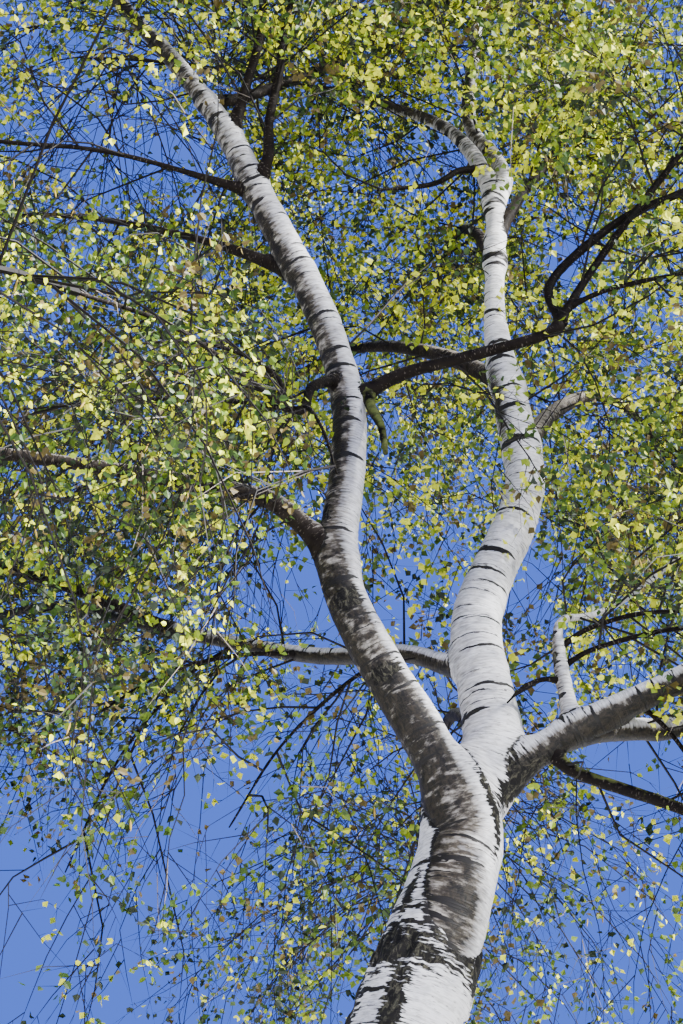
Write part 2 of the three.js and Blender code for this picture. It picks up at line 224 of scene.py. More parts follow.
# Name, parent, share of the parent's length, heading, legs as (length, rise), diameters from root to tip
SHOWN_LIMBS = [
    ("trunk", None, 0, 0, [(1.5, 86), (1.5, 81), (1.5, 76), (0.45, 73), (0.25, 75)],
     [0.5, 0.47, 0.44, 0.415, 0.39, 0.31]),
    ("right_stem", "trunk", 1, 0,
     [(0.35, 70), (0.45, 95), (0.25, 80), (0.55, 70), (0.5, 93), (0.5, 95), (0.8, 88), (0.5, 108),
      (0.4, 145), (0.5, 160)],
     [0.25, 0.215, 0.19, 0.165, 0.15, 0.092, 0.086, 0.076, 0.05, 0.03]),
    ("left_stem", "trunk", 0.95, 200,
     [(0.15, 95), (0.4, 65), (0.5, 60), (0.3, 75), (0.45, 95), (0.4, 90), (0.5, 75), (0.7, 65),
      (0.4, 65), (0.45, 55), (0.45, 50), (0.7, 65), (0.8, 75), (0.7, 80)],
     [0.18, 0.16, 0.135, 0.13, 0.062, 0.045, 0.028]),
    ("right_leader", "right_stem", 0.7, 0,
     [(0.2, 70), (0.2, 105), (0.3, 110), (0.9, 85), (0.9, 95), (0.9, 85), (0.5, 95)],
     [0.078, 0.066, 0.052, 0.038, 0.026]),
    ("right_bough", "right_stem", 0.02, -15, [(0.2, 30), (0.25, 30), (0.4, 20), (0.8, 20), (0.7, 0)],
     [0.125, 0.1, 0.085, 0.055]),
    ("right_back_bough", "right_bough", 0.19, 15, [(0.25, 10), (0.25, 16), (0.9, 28), (0.5, 15)],
     [0.084, 0.076, 0.046]),
    ("mossy_bough", "right_bough", 0.15, -10, [(0.15, -60), (0.45, -28), (0.5, -35)], [0.052, 0.042, 0.03]),
    ("upright_bough", "right_bough", 0.19, 20,
     [(0.35, 95), (0.15, 80), (0.15, 25), (0.25, 38), (0.7, 45), (0.5, 20)], [0.066, 0.045, 0.034, 0.026]),
    ("left_back_bough", "right_stem", 0.14, 150,
     [(0.15, 25), (0.25, 32), (0.45, 18), (0.85, 28), (0.7, 30), (0.6, 10)], [0.082, 0.066, 0.05, 0.036]),
    ("left_low_bough", "left_stem", 0.19, 200, [(0.3, 45), (0.25, 10), (0.9, -5), (0.9, -12)],
     [0.084, 0.05, 0.034]),
    ("middle_bough", "left_stem", 0.315, -20, [(0.25, 20), (0.25, 2), (0.35, 2), (0.1, 25)],
     [0.062, 0.05, 0.042]),
    ("middle_upper_bough", "middle_bough", 1, -10,
     [(0.25, 95), (0.45, 45), (0.35, 25), (0.25, 60), (0.35, 95), (0.6, 85)], [0.04, 0.034, 0.024]),
    ("middle_outer_bough", "middle_bough", 0.97, -15, [(0.3, 60), (0.45, 55), (0.7, 50), (0.6, 20)],
     [0.036, 0.03, 0.022]),
    ("broken_hook", "middle_bough", 0.1, -60, [(0.12, -75), (0.18, -65), (0.16, -80)], [0.046, 0.038, 0.022]),
    ("front_left_bough", "left_stem", 0.335, 235, [(0.3, -45), (0.25, -60), (0.7, -10), (0.6, -25)],
     [0.056, 0.046, 0.032]),
    ("upper_left_bough", "left_stem", 0.49, 195, [(0.5, 8), (0.3, 0), (0.4, -10), (0.7, -5)],
     [0.058, 0.044, 0.028]),
    ("front_upright_bough", "left_stem", 0.495, -60,
     [(0.15, 45), (0.25, 90), (0.3, 72), (0.35, 80), (0.9, 60), (0.7, 35)], [0.056, 0.046, 0.028]),
    ("left_upright_bough", "left_stem", 0.54, -60, [(0.25, 60), (0.3, 62), (0.35, 85), (1.1, 80)],
     [0.058, 0.046, 0.028]),
    ("grey_bough", "left_stem", 0.575, 40, [(0.3, 45), (0.6, 52), (0.6, 55), (0.9, 50)],
     [0.056, 0.046, 0.028]),
    ("upper_right_bough", "right_stem", 0.65, 0, [(0.35, 65), (0.35, 60), (0.55, 65), (0.4, 78), (0.8, 60)],
     [0.06, 0.048, 0.028]),
]

# Limbs behind leaves or past the sides of the picture. Name, parent, share, heading, rise, length
HIDDEN_LIMBS = [
    ("far_right_bough", "right_back_bough", 0.97, 62, 28, 1.5),
    ("front_right_bough", "right_bough", 0.66, -72, 18, 2.0),
    ("back_low_bough", "right_stem", 0.06, 92, 42, 3.0),
    ("left_far_bough", "left_back_bough", 0.55, 188, 22, 1.9),
    ("back_mid_bough", "right_stem", 0.38, 62, 52, 3.0),
    ("back_left_bough", "right_stem", 0.46, 122, 50, 2.9),
    ("left_mid_bough", "left_stem", 0.42, 162, 38, 2.5),
    ("back_high_bough", "right_stem", 0.62, 95, 58, 2.5),
    ("left_high_bough", "left_stem", 0.7, 188, 42, 1.9),
    ("top_back_bough", "right_leader", 0.45, 120, 50, 1.7),
]
# They all arch alike. Share of the length, and fall below the first rise
HIDDEN_LEGS = [(0.25, 0), (0.3, 8), (0.25, 22), (0.2, 40)]
HIDDEN_SLENDERNESS = 34
HIDDEN_TIP = 0.028

# Thin branches that fork off the boughs, in the same form as the limbs
STURDY = [0.024, 0.016, 0.008]
SLENDER = [0.022, 0.016, 0.008]
LIMP = [0.02, 0.014, 0.007]
THIN_BRANCHES = [
    ("middle_thin_branch", "middle_outer_bough", 0.06, -12,
     [(0.2, 20), (0.35, 4), (0.35, -4), (0.4, -12)], STURDY),
    ("upright_left_branch", "upright_bough", 0.1, 200, [(0.08, -5), (0.1, -30), (0.12, -50)], STURDY),
    ("upright_right_branch", "upright_bough", 0.17, -8,
     [(0.15, 35), (0.25, 12), (0.35, -8), (0.4, -20)], SLENDER),
    ("arching_branch", "front_left_bough", 0.32, 205, [(0.14, 70), (0.16, 25), (0.22, -5), (0.3, -25)],
     [0.026, 0.018, 0.008]),
    ("hanging_branch", "front_left_bough", 0.3, -60, [(0.15, -35), (0.25, -60), (0.3, -70)], LIMP),
    ("level_branch", "front_left_bough", 0.3, 186, [(0.25, 5), (0.35, -4), (0.45, -12)], SLENDER),
    ("upright_low_branch", "upright_bough", 0.13, -16,
     [(0.15, 25), (0.3, 6), (0.4, -6), (0.4, -16)], SLENDER),
    ("inner_branch", "right_stem", 0.755, 196, [(0.12, -20), (0.2, -45), (0.3, -25)], [0.036, 0.026, 0.012]),
    ("low_left_branch", "left_back_bough", 0.3, 205, [(0.3, -18), (0.35, -30), (0.4, -45)], STURDY),
    ("low_hanging_branch", "left_back_bough", 0.13, 178, [(0.25, -30), (0.4, -48), (0.4, -62)], LIMP),
    ("low_far_branch", "left_back_bough", 0.42, 150, [(0.3, -20), (0.45, -45), (0.5, -65)], LIMP),
    ("low_right_branch", "right_bough", 0.3, 40, [(0.25, -25), (0.4, -50), (0.4, -65)], LIMP),
]

# How far a limb starts beside its parent's middle line
ASIDE = {"left_stem": np.array([0.06, -0.11, 0.0])}
# Limbs with no foliage past their tip
BARE_LIMBS = {"trunk", "right_back_bough", "middle_bough", "broken_hook"}
# Limbs thick enough for paper bark
PAPER_LIMBS = [
    "trunk", "right_stem", "left_stem", "right_leader", "upright_bough", "right_bough", "right_back_bough",
    "left_back_bough",
]
# How much thinner some limbs are than their diameters, and the shares of the length where that starts
# and is full
SLIMMER = {
    "trunk": (0.17, 0.86, 0.93),
    "upright_bough": (0.45, 0.12, 0.27),
    "upper_left_bough": (0.55, 0, 0.2),
    "left_mid_bough": (0.45, 0, 0.25),
    "left_high_bough": (0.35, 0, 0.25),
    "front_left_bough": (0.55, 0, 0.4),
    "front_upright_bough": (0.2, 0, 0.2),
    "left_upright_bough": (0.2, 0, 0.2),
    "upper_right_bough": (0.25, 0, 0.25),
}
STATIONS_PER_LEG = 2
POINTS_PER_LEG = 12


@dataclass(eq=False)
class Limb:
    """A limb with its coarse and its fine middle line. Its diameters are evenly spaced from root to tip."""
    name: str
    parent: str
    stations: np.ndarray
    line: np.ndarray
    diameters: list
    children: list = field(default_factory=list)


def direction(heading, rise):
    """The unit vector of a heading and a rise in degrees."""
    around = math.radians(heading)
    above = math.radians(rise)
    return np.array([math.cos(around) * math.cos(above), math.sin(around) * math.cos(above), math.sin(above)])


def unit(vectors):
    """The vectors at a length of one."""
    return vectors / np.maximum(np.linalg.norm(vectors, axis=-1, keepdims=True), 1e-9)


def smooth_line(corners, steps):
    """The even Catmull-Rom curve through the corners, cut in equal steps of its parameter."""
    before_first = 2 * corners[0] - corners[1]
    after_last = 2 * corners[-1] - corners[-2]
    knots = np.vstack([before_first, corners, after_last])
    at = np.linspace(0, len(corners) - 1, steps + 1)
    leg = np.minimum(at.astype(int), len(corners) - 2)
    t = (at - leg)[:, None]
    a, b, c, d = (knots[leg + k] for k in range(4))
    return 0.5 * (2 * b + (c - a) * t + (2 * a - 5 * b + 4 * c - d) * t**2 + (3 * b - a - 3 * c + d) * t**3)


def run_along(line):
    """The length along a line up to each of its points."""
    return np.concatenate([[0], np.cumsum(np.linalg.norm(np.diff(line, axis=0), axis=1))])


def point_at(line, share):
    """The point at a share of a line's length, or one point for each of several shares."""
    run = run_along(line)
    return np.stack([np.interp(share * run[-1], run, line[:, axis]) for axis in range(3)], axis=-1)


def hidden_limb(name, parent, share, heading, rise, length):
    """The row of a hidden limb in the form of the shown ones."""
    legs = [(part * length, rise - fall) for part, fall in HIDDEN_LEGS]
    return name, parent, share, heading, legs, [length / HIDDEN_SLENDERNESS, HIDDEN_TIP]


def make_limbs(rows, limbs):
    """Follows each row's legs from its start on the parent, and adds the limbs to those there are."""
    for name, parent, share, heading, legs, diameters in rows:
        start = point_at(limbs[parent].stations, share) if parent else np.zeros(3)
        corners = [start + ASIDE.get(name, 0)]
        for length, rise in legs:
            corners.append(corners[-1] + length * direction(heading, rise))
        corners = np.array(corners)
        stations = smooth_line(corners, len(legs) * STATIONS_PER_LEG)
        line = smooth_line(corners, len(legs) * POINTS_PER_LEG)
        limbs[name] = Limb(name, parent, stations, line, diameters)
        if parent:
            limbs[parent].children.append(limbs[name])
    return limbs


def girth_at(limb, share):
    """The limb's radius at a share of its length."""
    amount, starts, full = SLIMMER.get(limb.name, (0, 0, 1))
    slimmer = 1 - amount * np.clip((share - starts) / (full - starts), 0, 1)
    return np.interp(share, np.linspace(0, 1, len(limb.diameters)), limb.diameters) / 2 * slimmer


# Bark

FLARE_DIAMETER = 0.27
FLARE_HEIGHT = 0.33
FLARE_LOBES = 5
FLARE_LOBE_DEPTH = 0.13

# Size of the mesh's faces on paper bark and on the thinner boughs
PAPER_SPACING = 0.012
BOUGH_SPACING = 0.019
FEWEST_SIDES = 9
FEWEST_RINGS = 12
END_ROUNDING = 0.6

# How limbs run into each other. Widths and reaches are shares of the thinner one's radius.
FILLET_WIDTH = 1.6
CREASE_WIDTH = 0.16
FILLET_REACH = 6
FILLET_ROUNDS = 4
FILLET_SPACING = 0.03
NEAR_SIBLING = 0.5
SAME_PLACE = 0.01
# How much a limb widens at its root
ROOT_SPREAD = 0.22
ROOT_SPREADS = {"left_stem": 0.1, "right_stem": 0.06}
ROOT_SPREAD_LENGTH = 1.9

# Where a limb's foot runs on down inside its parent, from its start
SUNKEN_FEET = {"left_stem": [(-0.2, 0.13, -0.6), (-0.125, 0.07, -0.38), (-0.05, 0.015, -0.18)]}
FOOT_STEPS = 14
FOOT_JOINS_AT = 0.15

# Relief as (size of the bumps, share of the limb's radius), and in metres that of level peels and crust
BUMPS = [(0.16, 0.05), (0.05, 0.022)]
PEEL_SIZE = 0.03
PEEL_STRETCH = (1, 1, 2.2)
PEEL_HEIGHT = 0.0012
RIDGE_SIZE = 0.035
RIDGE_STRETCH = (1, 1, 0.42)
TRUNK_RIDGE_HEIGHT = 0.011
LIMB_RIDGE_HEIGHT = 0.004

# Black fissured bark: limb, length along it, heading that it faces, half length, half width in degrees
CRUST_PATCHES = [
    ("trunk", 4.56, -124, 0.11, 84),
    ("trunk", 4.3, -104, 0.36, 17),
    ("trunk", 4.4, -172, 0.32, 26),
    ("trunk", 4.18, -80, 0.12, 26),
    ("trunk", 4.6, -20, 0.14, 32),
    ("trunk", 4.77, -125, 0.14, 13),
    ("trunk", 4.05, -100, 0.2, 50),
    ("trunk", 3.5, -120, 0.4, 32),
    ("trunk", 3.2, 60, 0.6, 48),
    ("trunk", 4.1, 130, 0.5, 50),
    ("right_stem", 0.13, -32, 0.12, 30),
    ("left_stem", 0.18, -28, 0.2, 16),
    ("left_stem", 0.8, -104, 0.05, 60),
    ("left_stem", 1.13, -96, 0.06, 50),
    ("left_stem", 1.5, -140, 0.12, 26),
    ("right_bough", 0.1, -110, 0.16, 60),
    ("right_bough", 0.14, -45, 0.24, 60),
    ("right_back_bough", 0.5, -110, 0.12, 50),
    ("right_back_bough", 0.9, -80, 0.1, 60),
    ("upright_bough", 0.3, -150, 0.05, 60),
]
# Painted shade: soft dark brown patches that paint the shadow falling on the bark, in the same form
PAINTED_SHADE_PATCHES = [
    ("left_stem", 0.55, -94, 0.4, 44),
    ("left_stem", 0.58, -118, 0.44, 54),
    ("left_stem", 1.12, -105, 0.24, 52),
    ("left_stem", -0.2, -76, 0.17, 42),
    ("trunk", 4.78, -68, 0.11, 32),
    ("left_stem", 2.0, -130, 0.45, 36),
    ("left_stem", 3.0, -150, 0.5, 30),
    ("right_stem", 4.3, -90, 0.9, 150),
    ("right_stem", 2.1, -150, 0.35, 36),
    ("right_leader", 0.9, -120, 0.6, 60),
    ("left_stem", 4.6, -120, 0.6, 90),
    ("right_back_bough", 1.3, -100, 0.6, 80),
    ("left_back_bough", 2.6, -90, 1.3, 150),
]
# How deep the middle of a patch is. Its edge is where the depth is gone.
PATCH_DEPTH = 1.35
# Crust covers the foot and thins out up to this height, with gaps as (size, strength)
CRUST_FOOT = 3.0
FOOT_CRUST = 1.15
FOOT_FALLOFF = 1.6
FOOT_GAPS = [(0.24, 0.6), (0.07, 0.35)]
MOST_CRUST = 1.3
# How brown the sheltered side is, partly as weathered bark and partly as painted shade, how far along a limb
# it stays so, and the share that is left past that
SHADE_AND_SHELTER = {
    "left_stem": 1.2, "right_stem": 0.2, "trunk": 0.3, "upright_bough": 0.4, "right_bough": 1.0,
    "right_back_bough": 0.6, "left_back_bough": 0.9, "right_leader": 0.3,
}
SHADE_AND_SHELTER_LENGTH = 2.2
LEAST_SHADE_AND_SHELTER = 0.3
MOST_SHADE_AND_SHELTER = 1.6
# Its share at a limb's start, the gain in a metre along it, and the least where the foot runs on down
START_SHADE_AND_SHELTER, SHADE_AND_SHELTER_GAIN, FOOT_SHADE_AND_SHELTER = 0.75, 1.2, 0.6
# Where the sheltered side with its painted shade starts, how sharply, and how dark it gets. A level bough's
# underside gets sharp, dark painted shade.
STEM_SIDE = (0.75, 1.6, 1.6)
BOUGH_UNDERSIDE = (-0.1, 3.2, 5)
# How far the bark has to turn away from the sun for painted shade, and the most of that which counts
PAINTED_SHADE_LIMITS = (0.3, 0.6)
# How green the damp limbs are, and how much of that their sides have
MOSSY = {
    "mossy_bough": 0.55, "broken_hook": 0.7, "left_back_bough": 0.3, "right_bough": 0.22,
    "left_low_bough": 0.2,
}
MOSS_ON_SIDES = 0.6
# Brown bark is dark and thin up to the first diameter, and stout from the second
STOUT_DIAMETERS = (0.05, 0.11)
BARK_SEED = 11
# The side that faces the sun, and that sun and rain bleach: the right of upright limbs, and the top of the
# others.
# Bark turned away from it gets painted shade, and on boughs bark facing it is painted lighter.
SUN_AND_WEATHER_SIDE = unit(np.array([0.72, 0.1, 0.62]))
SUN_AND_WEATHER_TOP = unit(np.array([0.25, 0.1, 0.95]))
UPRIGHT_LIMBS = ("trunk", "right_stem", "left_stem", "right_leader", "upright_bough")
# The levels of dark arcs: spacing, and half thickness at the middle
BOLD_ARCS = (0.1, 0.0125)
FAINT_ARCS = (0.043, 0.0026)
BOUGH_ARCS = (0.03, 0.002)
# How far an arc wanders off its level, and how soft its edge is
ARC_SWAY = 0.03
ARC_EDGE = 0.0012

GRAIN_STEPS = np.array([73856093, 19349663, 83492791])
GRAIN_SEED_STEP = 374761393
GRAIN_MIX = 1274126177


def grain(places, size, seed):
    """Smooth random values from -1 to 1 that change over about that size."""
    scaled = places / size
    cell = np.floor(scaled).astype(np.int64)
    part = scaled - cell
    part = part * part * (3 - 2 * part)
    total = np.zeros(len(places))
    for corner in itertools.product((0, 1), repeat=3):
        mixed = (cell + corner) @ GRAIN_STEPS + seed * GRAIN_SEED_STEP
        mixed = ((mixed ^ (mixed >> 13)) * GRAIN_MIX) & 0xFFFFFFFF
        value = ((mixed ^ (mixed >> 16)) & 0xFFFF) / 32767.5 - 1
        total += value * np.prod(np.where(corner, part, 1 - part), axis=1)
    return total


def layered_grain(places, layers, seed):
    """Grain of several sizes on top of each other, each as (size, strength)."""
    parts = [strength * grain(places, size, seed + number) for number, (size, strength) in enumerate(layers)]
    return sum(parts)


def carried_frames(line):
    """Two directions across a line at each point, carried along it without twisting."""
    along = unit(np.gradient(line, axis=0))
    reference = np.array([0.0, 1, 0]) if abs(along[0, 1]) < 0.9 else np.array([1.0, 0, 0])
    side = np.cross(reference, along[0])
    sides = []
    for heading in along:
        side = unit(side - heading * side.dot(heading))
        sides.append(side)
    sides = np.array(sides)
    return along, sides, np.cross(along, sides)


@functools.lru_cache(maxsize=None)
def limb_body(limb, spacing):
    """The limb's middle line in even steps, the run along it, its radius, and that with its root's spread."""
    length = run_along(limb.line)[-1]
    rings = max(FEWEST_RINGS, round(length / spacing)) + 1
    line = point_at(limb.line, np.linspace(0, 1, rings))
    run = np.linspace(0, length, rings)
    if limb.name in SUNKEN_FEET:
        foot = SUNKEN_FEET[limb.name]
        corners = np.vstack([line[0] + foot, line[0], line[np.searchsorted(run, FOOT_JOINS_AT)]])
        sunken = smooth_line(corners, (len(foot) + 1) * FOOT_STEPS)[:len(foot) * FOOT_STEPS + 1]
        below = run_along(sunken)
        run = np.concatenate([below[:-1] - below[-1], run])
        line = np.vstack([sunken[:-1], line])
    girth = girth_at(limb, run / length)
    if limb.parent is None:
        return line, run, girth, girth
    rooted = np.exp(-np.maximum(run - girth[0], 0) / (ROOT_SPREAD_LENGTH * girth[0]))
    return line, run, girth, girth * (1 + ROOT_SPREADS.get(limb.name, ROOT_SPREAD) * rooted)


def outside(limb, points):
    """How far each point lies outside a limb, or less than nothing inside it."""
    line, _, _, radius = limb_body(limb, FILLET_SPACING)
    step = np.diff(line, axis=0)
    away = points[:, None] - line[:-1]
    share = np.clip((away * step).sum(axis=2) / (step**2).sum(axis=1), 0, 1)
    off = np.linalg.norm(away - share[..., None] * step, axis=2)
    return (off - radius[:-1] - share * np.diff(radius)).min(axis=1)


def meetings(limb, limbs):
    """The limbs that leave or bear this one, each with the place and the radius of the thinner one."""
    met = [(child, child.line[0], child.diameters[0] / 2) for child in limb.children]
    if limb.parent:
        parent = limbs[limb.parent]
        met.append((parent, limb.line[0], limb.diameters[0] / 2))
        for other in parent.children:
            if other is not limb and np.linalg.norm(other.line[0] - limb.line[0]) < NEAR_SIBLING:
                met.append((other, other.line[0], min(other.diameters[0], limb.diameters[0]) / 2))
    return [(other, place, size) for other, place, size in met if not runs_on(limb, other)]


def runs_on(one, other):
    """Whether either limb starts at the other's tip, and so carries it on."""
    gaps = (one.line[0] - other.line[-1], other.line[0] - one.line[-1])
    return min(np.linalg.norm(gap) for gap in gaps) < SAME_PLACE


def fillet(skin, facing, met):
    """How far the bark swells out towards the limbs that it meets, and how near it is to their crease."""
    swell = np.zeros(len(skin))
    crease = np.zeros(len(skin))
    for other, place, size in met:
        near = np.flatnonzero(np.linalg.norm(skin - place, axis=1) < FILLET_REACH * size)
        width = FILLET_WIDTH * size
        grown = np.zeros(len(near))
        away = grown
        for _ in range(FILLET_ROUNDS):
            away = outside(other, skin[near] + facing[near] * grown[:, None])
            grown = width / 4 * np.clip(1 - np.abs(grown - away) / width, 0, 1) ** 2
        swell[near] = np.maximum(swell[near], grown)
        crease[near] = np.maximum(crease[near], np.exp(-((grown - away) / (CREASE_WIDTH * size)) ** 2))
    return swell, crease


def patched(limb, run, facing, patches):
    """How deep each place lies in the patches on its limb, or 0 outside them."""
    amount = np.zeros(len(run))
    headings = np.degrees(np.arctan2(facing[:, 1], facing[:, 0]))
    for name, at, heading, half_length, half_width in patches:
        if name != limb.name:
            continue
        turned = (headings - heading + 180) % 360 - 180
        off = np.hypot((run - at) / half_length, turned / half_width)
        amount = np.maximum(amount, PATCH_DEPTH - off)
    return amount


def crust_amount(limb, run, facing, places):
    """How far the bark has turned to black fissured crust: 0 for none, 1 for all."""
    amount = patched(limb, run, facing, CRUST_PATCHES)
    if limb.parent is None:
        patchy = layered_grain(places, FOOT_GAPS, BARK_SEED)
        grade = np.clip(1 - run / CRUST_FOOT, 0, 1)
        amount = np.maximum(amount, FOOT_CRUST * grade ** FOOT_FALLOFF + patchy * np.minimum(1, 3 * grade))
    return np.clip(amount, 0, MOST_CRUST)


def bark_relief(limb, skin, bark_place, girth, crust, seed):
    """How far bumps, level peels and ridges of crust lift the bark."""
    relief = girth * layered_grain(skin, BUMPS, seed)
    relief += PEEL_HEIGHT * grain(bark_place * PEEL_STRETCH, PEEL_SIZE, seed + 2)
    ridges = 1 - 2 * np.abs(grain(bark_place * RIDGE_STRETCH, RIDGE_SIZE, seed + 3))
    height = TRUNK_RIDGE_HEIGHT if limb.parent is None else LIMB_RIDGE_HEIGHT
    return relief + np.clip(crust, 0, 1) * height * ridges


def weathering_and_shade(limb, run, facing):
    """How sheltered, bleached and mossy the bark is, how far it faces the sun, and its painted shade, for its
    material.
    """
    shaded_and_sheltered = LEAST_SHADE_AND_SHELTER + (1 - LEAST_SHADE_AND_SHELTER) * np.exp(-(run / SHADE_AND_SHELTER_LENGTH) ** 2)
    shaded_and_sheltered *= SHADE_AND_SHELTER.get(limb.name, 0) * np.clip(START_SHADE_AND_SHELTER + SHADE_AND_SHELTER_GAIN * run, FOOT_SHADE_AND_SHELTER, 1)
    upright = limb.name in UPRIGHT_LIMBS
    weather = facing @ (SUN_AND_WEATHER_SIDE if upright else SUN_AND_WEATHER_TOP)
    starts, sharpness, darkness = STEM_SIDE if upright else BOUGH_UNDERSIDE
    turned_away, most = PAINTED_SHADE_LIMITS
    # Painted shade on the side turned away from the sun
    dusk = darkness * shaded_and_sheltered * np.clip(-weather - turned_away, 0, most)
    return {
        "dusk": np.maximum(dusk, patched(limb, run, facing, PAINTED_SHADE_PATCHES)),
        "shelter": shaded_and_sheltered * np.clip(starts - weather * sharpness, 0, MOST_SHADE_AND_SHELTER),
        "weather": weather,
        "moss": MOSSY.get(limb.name, 0) * np.clip(MOSS_ON_SIDES + facing[:, 2], 0, 1),
    }


def bark_shell(limb, limbs, spacing, seed):
    """Places, triangles and bark values of one limb's bark, closed at both ends."""
    line, run, girth, spread = limb_body(limb, spacing)
    along, side, across = carried_frames(line)
    sides = max(FEWEST_SIDES, round(2 * math.pi * girth.max() / spacing))
    angle = np.linspace(0, 2 * math.pi, sides, endpoint=False)
    facing = side[:, None] * np.cos(angle)[:, None] + across[:, None] * np.sin(angle)[:, None]
    around = np.stack([np.outer(girth, np.cos(angle)), np.outer(girth, np.sin(angle))], axis=-1)
    along_bark = np.repeat(run[:, None], sides, axis=1)
    bark_place = np.dstack([around, along_bark]).reshape(-1, 3)
    spread = np.repeat(spread[:, None], sides, axis=1)
    if limb.parent is None:
        near = np.exp(-line[:, 2] / FLARE_HEIGHT)[:, None]
        lobes = 1 + FLARE_LOBE_DEPTH * near * np.cos(FLARE_LOBES * angle)
        spread = (spread + near * FLARE_DIAMETER / 2) * lobes
    facing = facing.reshape(-1, 3)
    flat_run = along_bark.ravel()
    skin = np.repeat(line, sides, axis=0) + facing * spread.reshape(-1, 1)
    crust = crust_amount(limb, flat_run, facing, skin)
    swell, crease = fillet(skin, facing, meetings(limb, limbs))
    relief = bark_relief(limb, skin, bark_place, np.repeat(girth, sides), crust, seed) + swell
    skin = skin + facing * relief[:, None]
    if limb.parent is None:
        skin[:, 2] = np.maximum(skin[:, 2], 0)
        skin[:sides, 2] = 0
    stout = np.full(len(skin), np.interp(2 * girth[0], STOUT_DIAMETERS, (0, 1)))
    values = {"bark_place": bark_place, "crust": crust, "crease": crease, "stout": stout}
    values.update(weathering_and_shade(limb, flat_run, facing))
    ends = np.array([line[0], line[-1] + along[-1] * girth[-1] * END_ROUNDING])
    if limb.parent is None:
        ends[0, 2] = 0
    closed = {key: np.concatenate([value, value[[0, -1]]]) for key, value in values.items()}
    return np.vstack([skin, ends]), tube_triangles(len(line), sides), closed


def tube_triangles(rings, sides):
    """Triangles between rings of vertices and in a fan over each end, facing outwards."""
    here = np.arange(sides)
    following = (here + 1) % sides
    ring = (np.arange(rings - 1) * sides)[:, None]
    low, low_next = ring + here, ring + following
    high, high_next = low + sides, low_next + sides
    one = np.stack([low, low_next, high_next], axis=-1).reshape(-1, 3)
    other = np.stack([low, high_next, high], axis=-1).reshape(-1, 3)
    last = (rings - 1) * sides
    start, end = rings * sides, rings * sides + 1
    foot = np.stack([following, here, np.full(sides, start)], axis=1)
    tip = np.stack([here + last, following + last, np.full(sides, end)], axis=1)
    return np.vstack([one, other, foot, tip])


def bark_piece(name, members, limbs, spacing, material, slot):
    """Joins the bark of some limbs in one piece."""
    vertices, triangles, values = [], [], []
    total = 0
    for limb in members:
        skin, faces, marks = bark_shell(limb, limbs, spacing, BARK_SEED + sum(map(ord, limb.name)))
        vertices.append(skin)
        triangles.append(faces + total)
        values.append(marks)
        total += len(skin)
    mesh = mesh_from(name, np.vstack(vertices), np.vstack(triangles), smooth=True)
    for key in values[0]:
        give(mesh, key, np.concatenate([marks[key] for marks in values]))
    nodes = [limb.name for limb in members if limb.name in frame["nodes"]]
    return settle(show(name, mesh), material, slot, *nodes)


def stem_under(limb, limbs):
    """The stem that a bough grows from, through the boughs between."""
    while limb.parent not in STEMS:
        limb = limbs[limb.parent]
    return limb.parent


def bark_marks(make, *names):
    """Values that the bark's mesh holds for its material."""
    return [make("ShaderNodeAttribute", attribute_name=name).outputs["Fac"] for name in names]


def stretched_noise(make, place, around, along, **settings):
    """Noise with so many repeats in a metre round the stem, and so many along it."""
    stretched = make("ShaderNodeMapping", {"Vector": place, "Scale": (around, around, along)}).outputs[0]
    return make("ShaderNodeTexNoise", {"Vector": stretched, "Scale": 1, **settings}).outputs["Fac"]


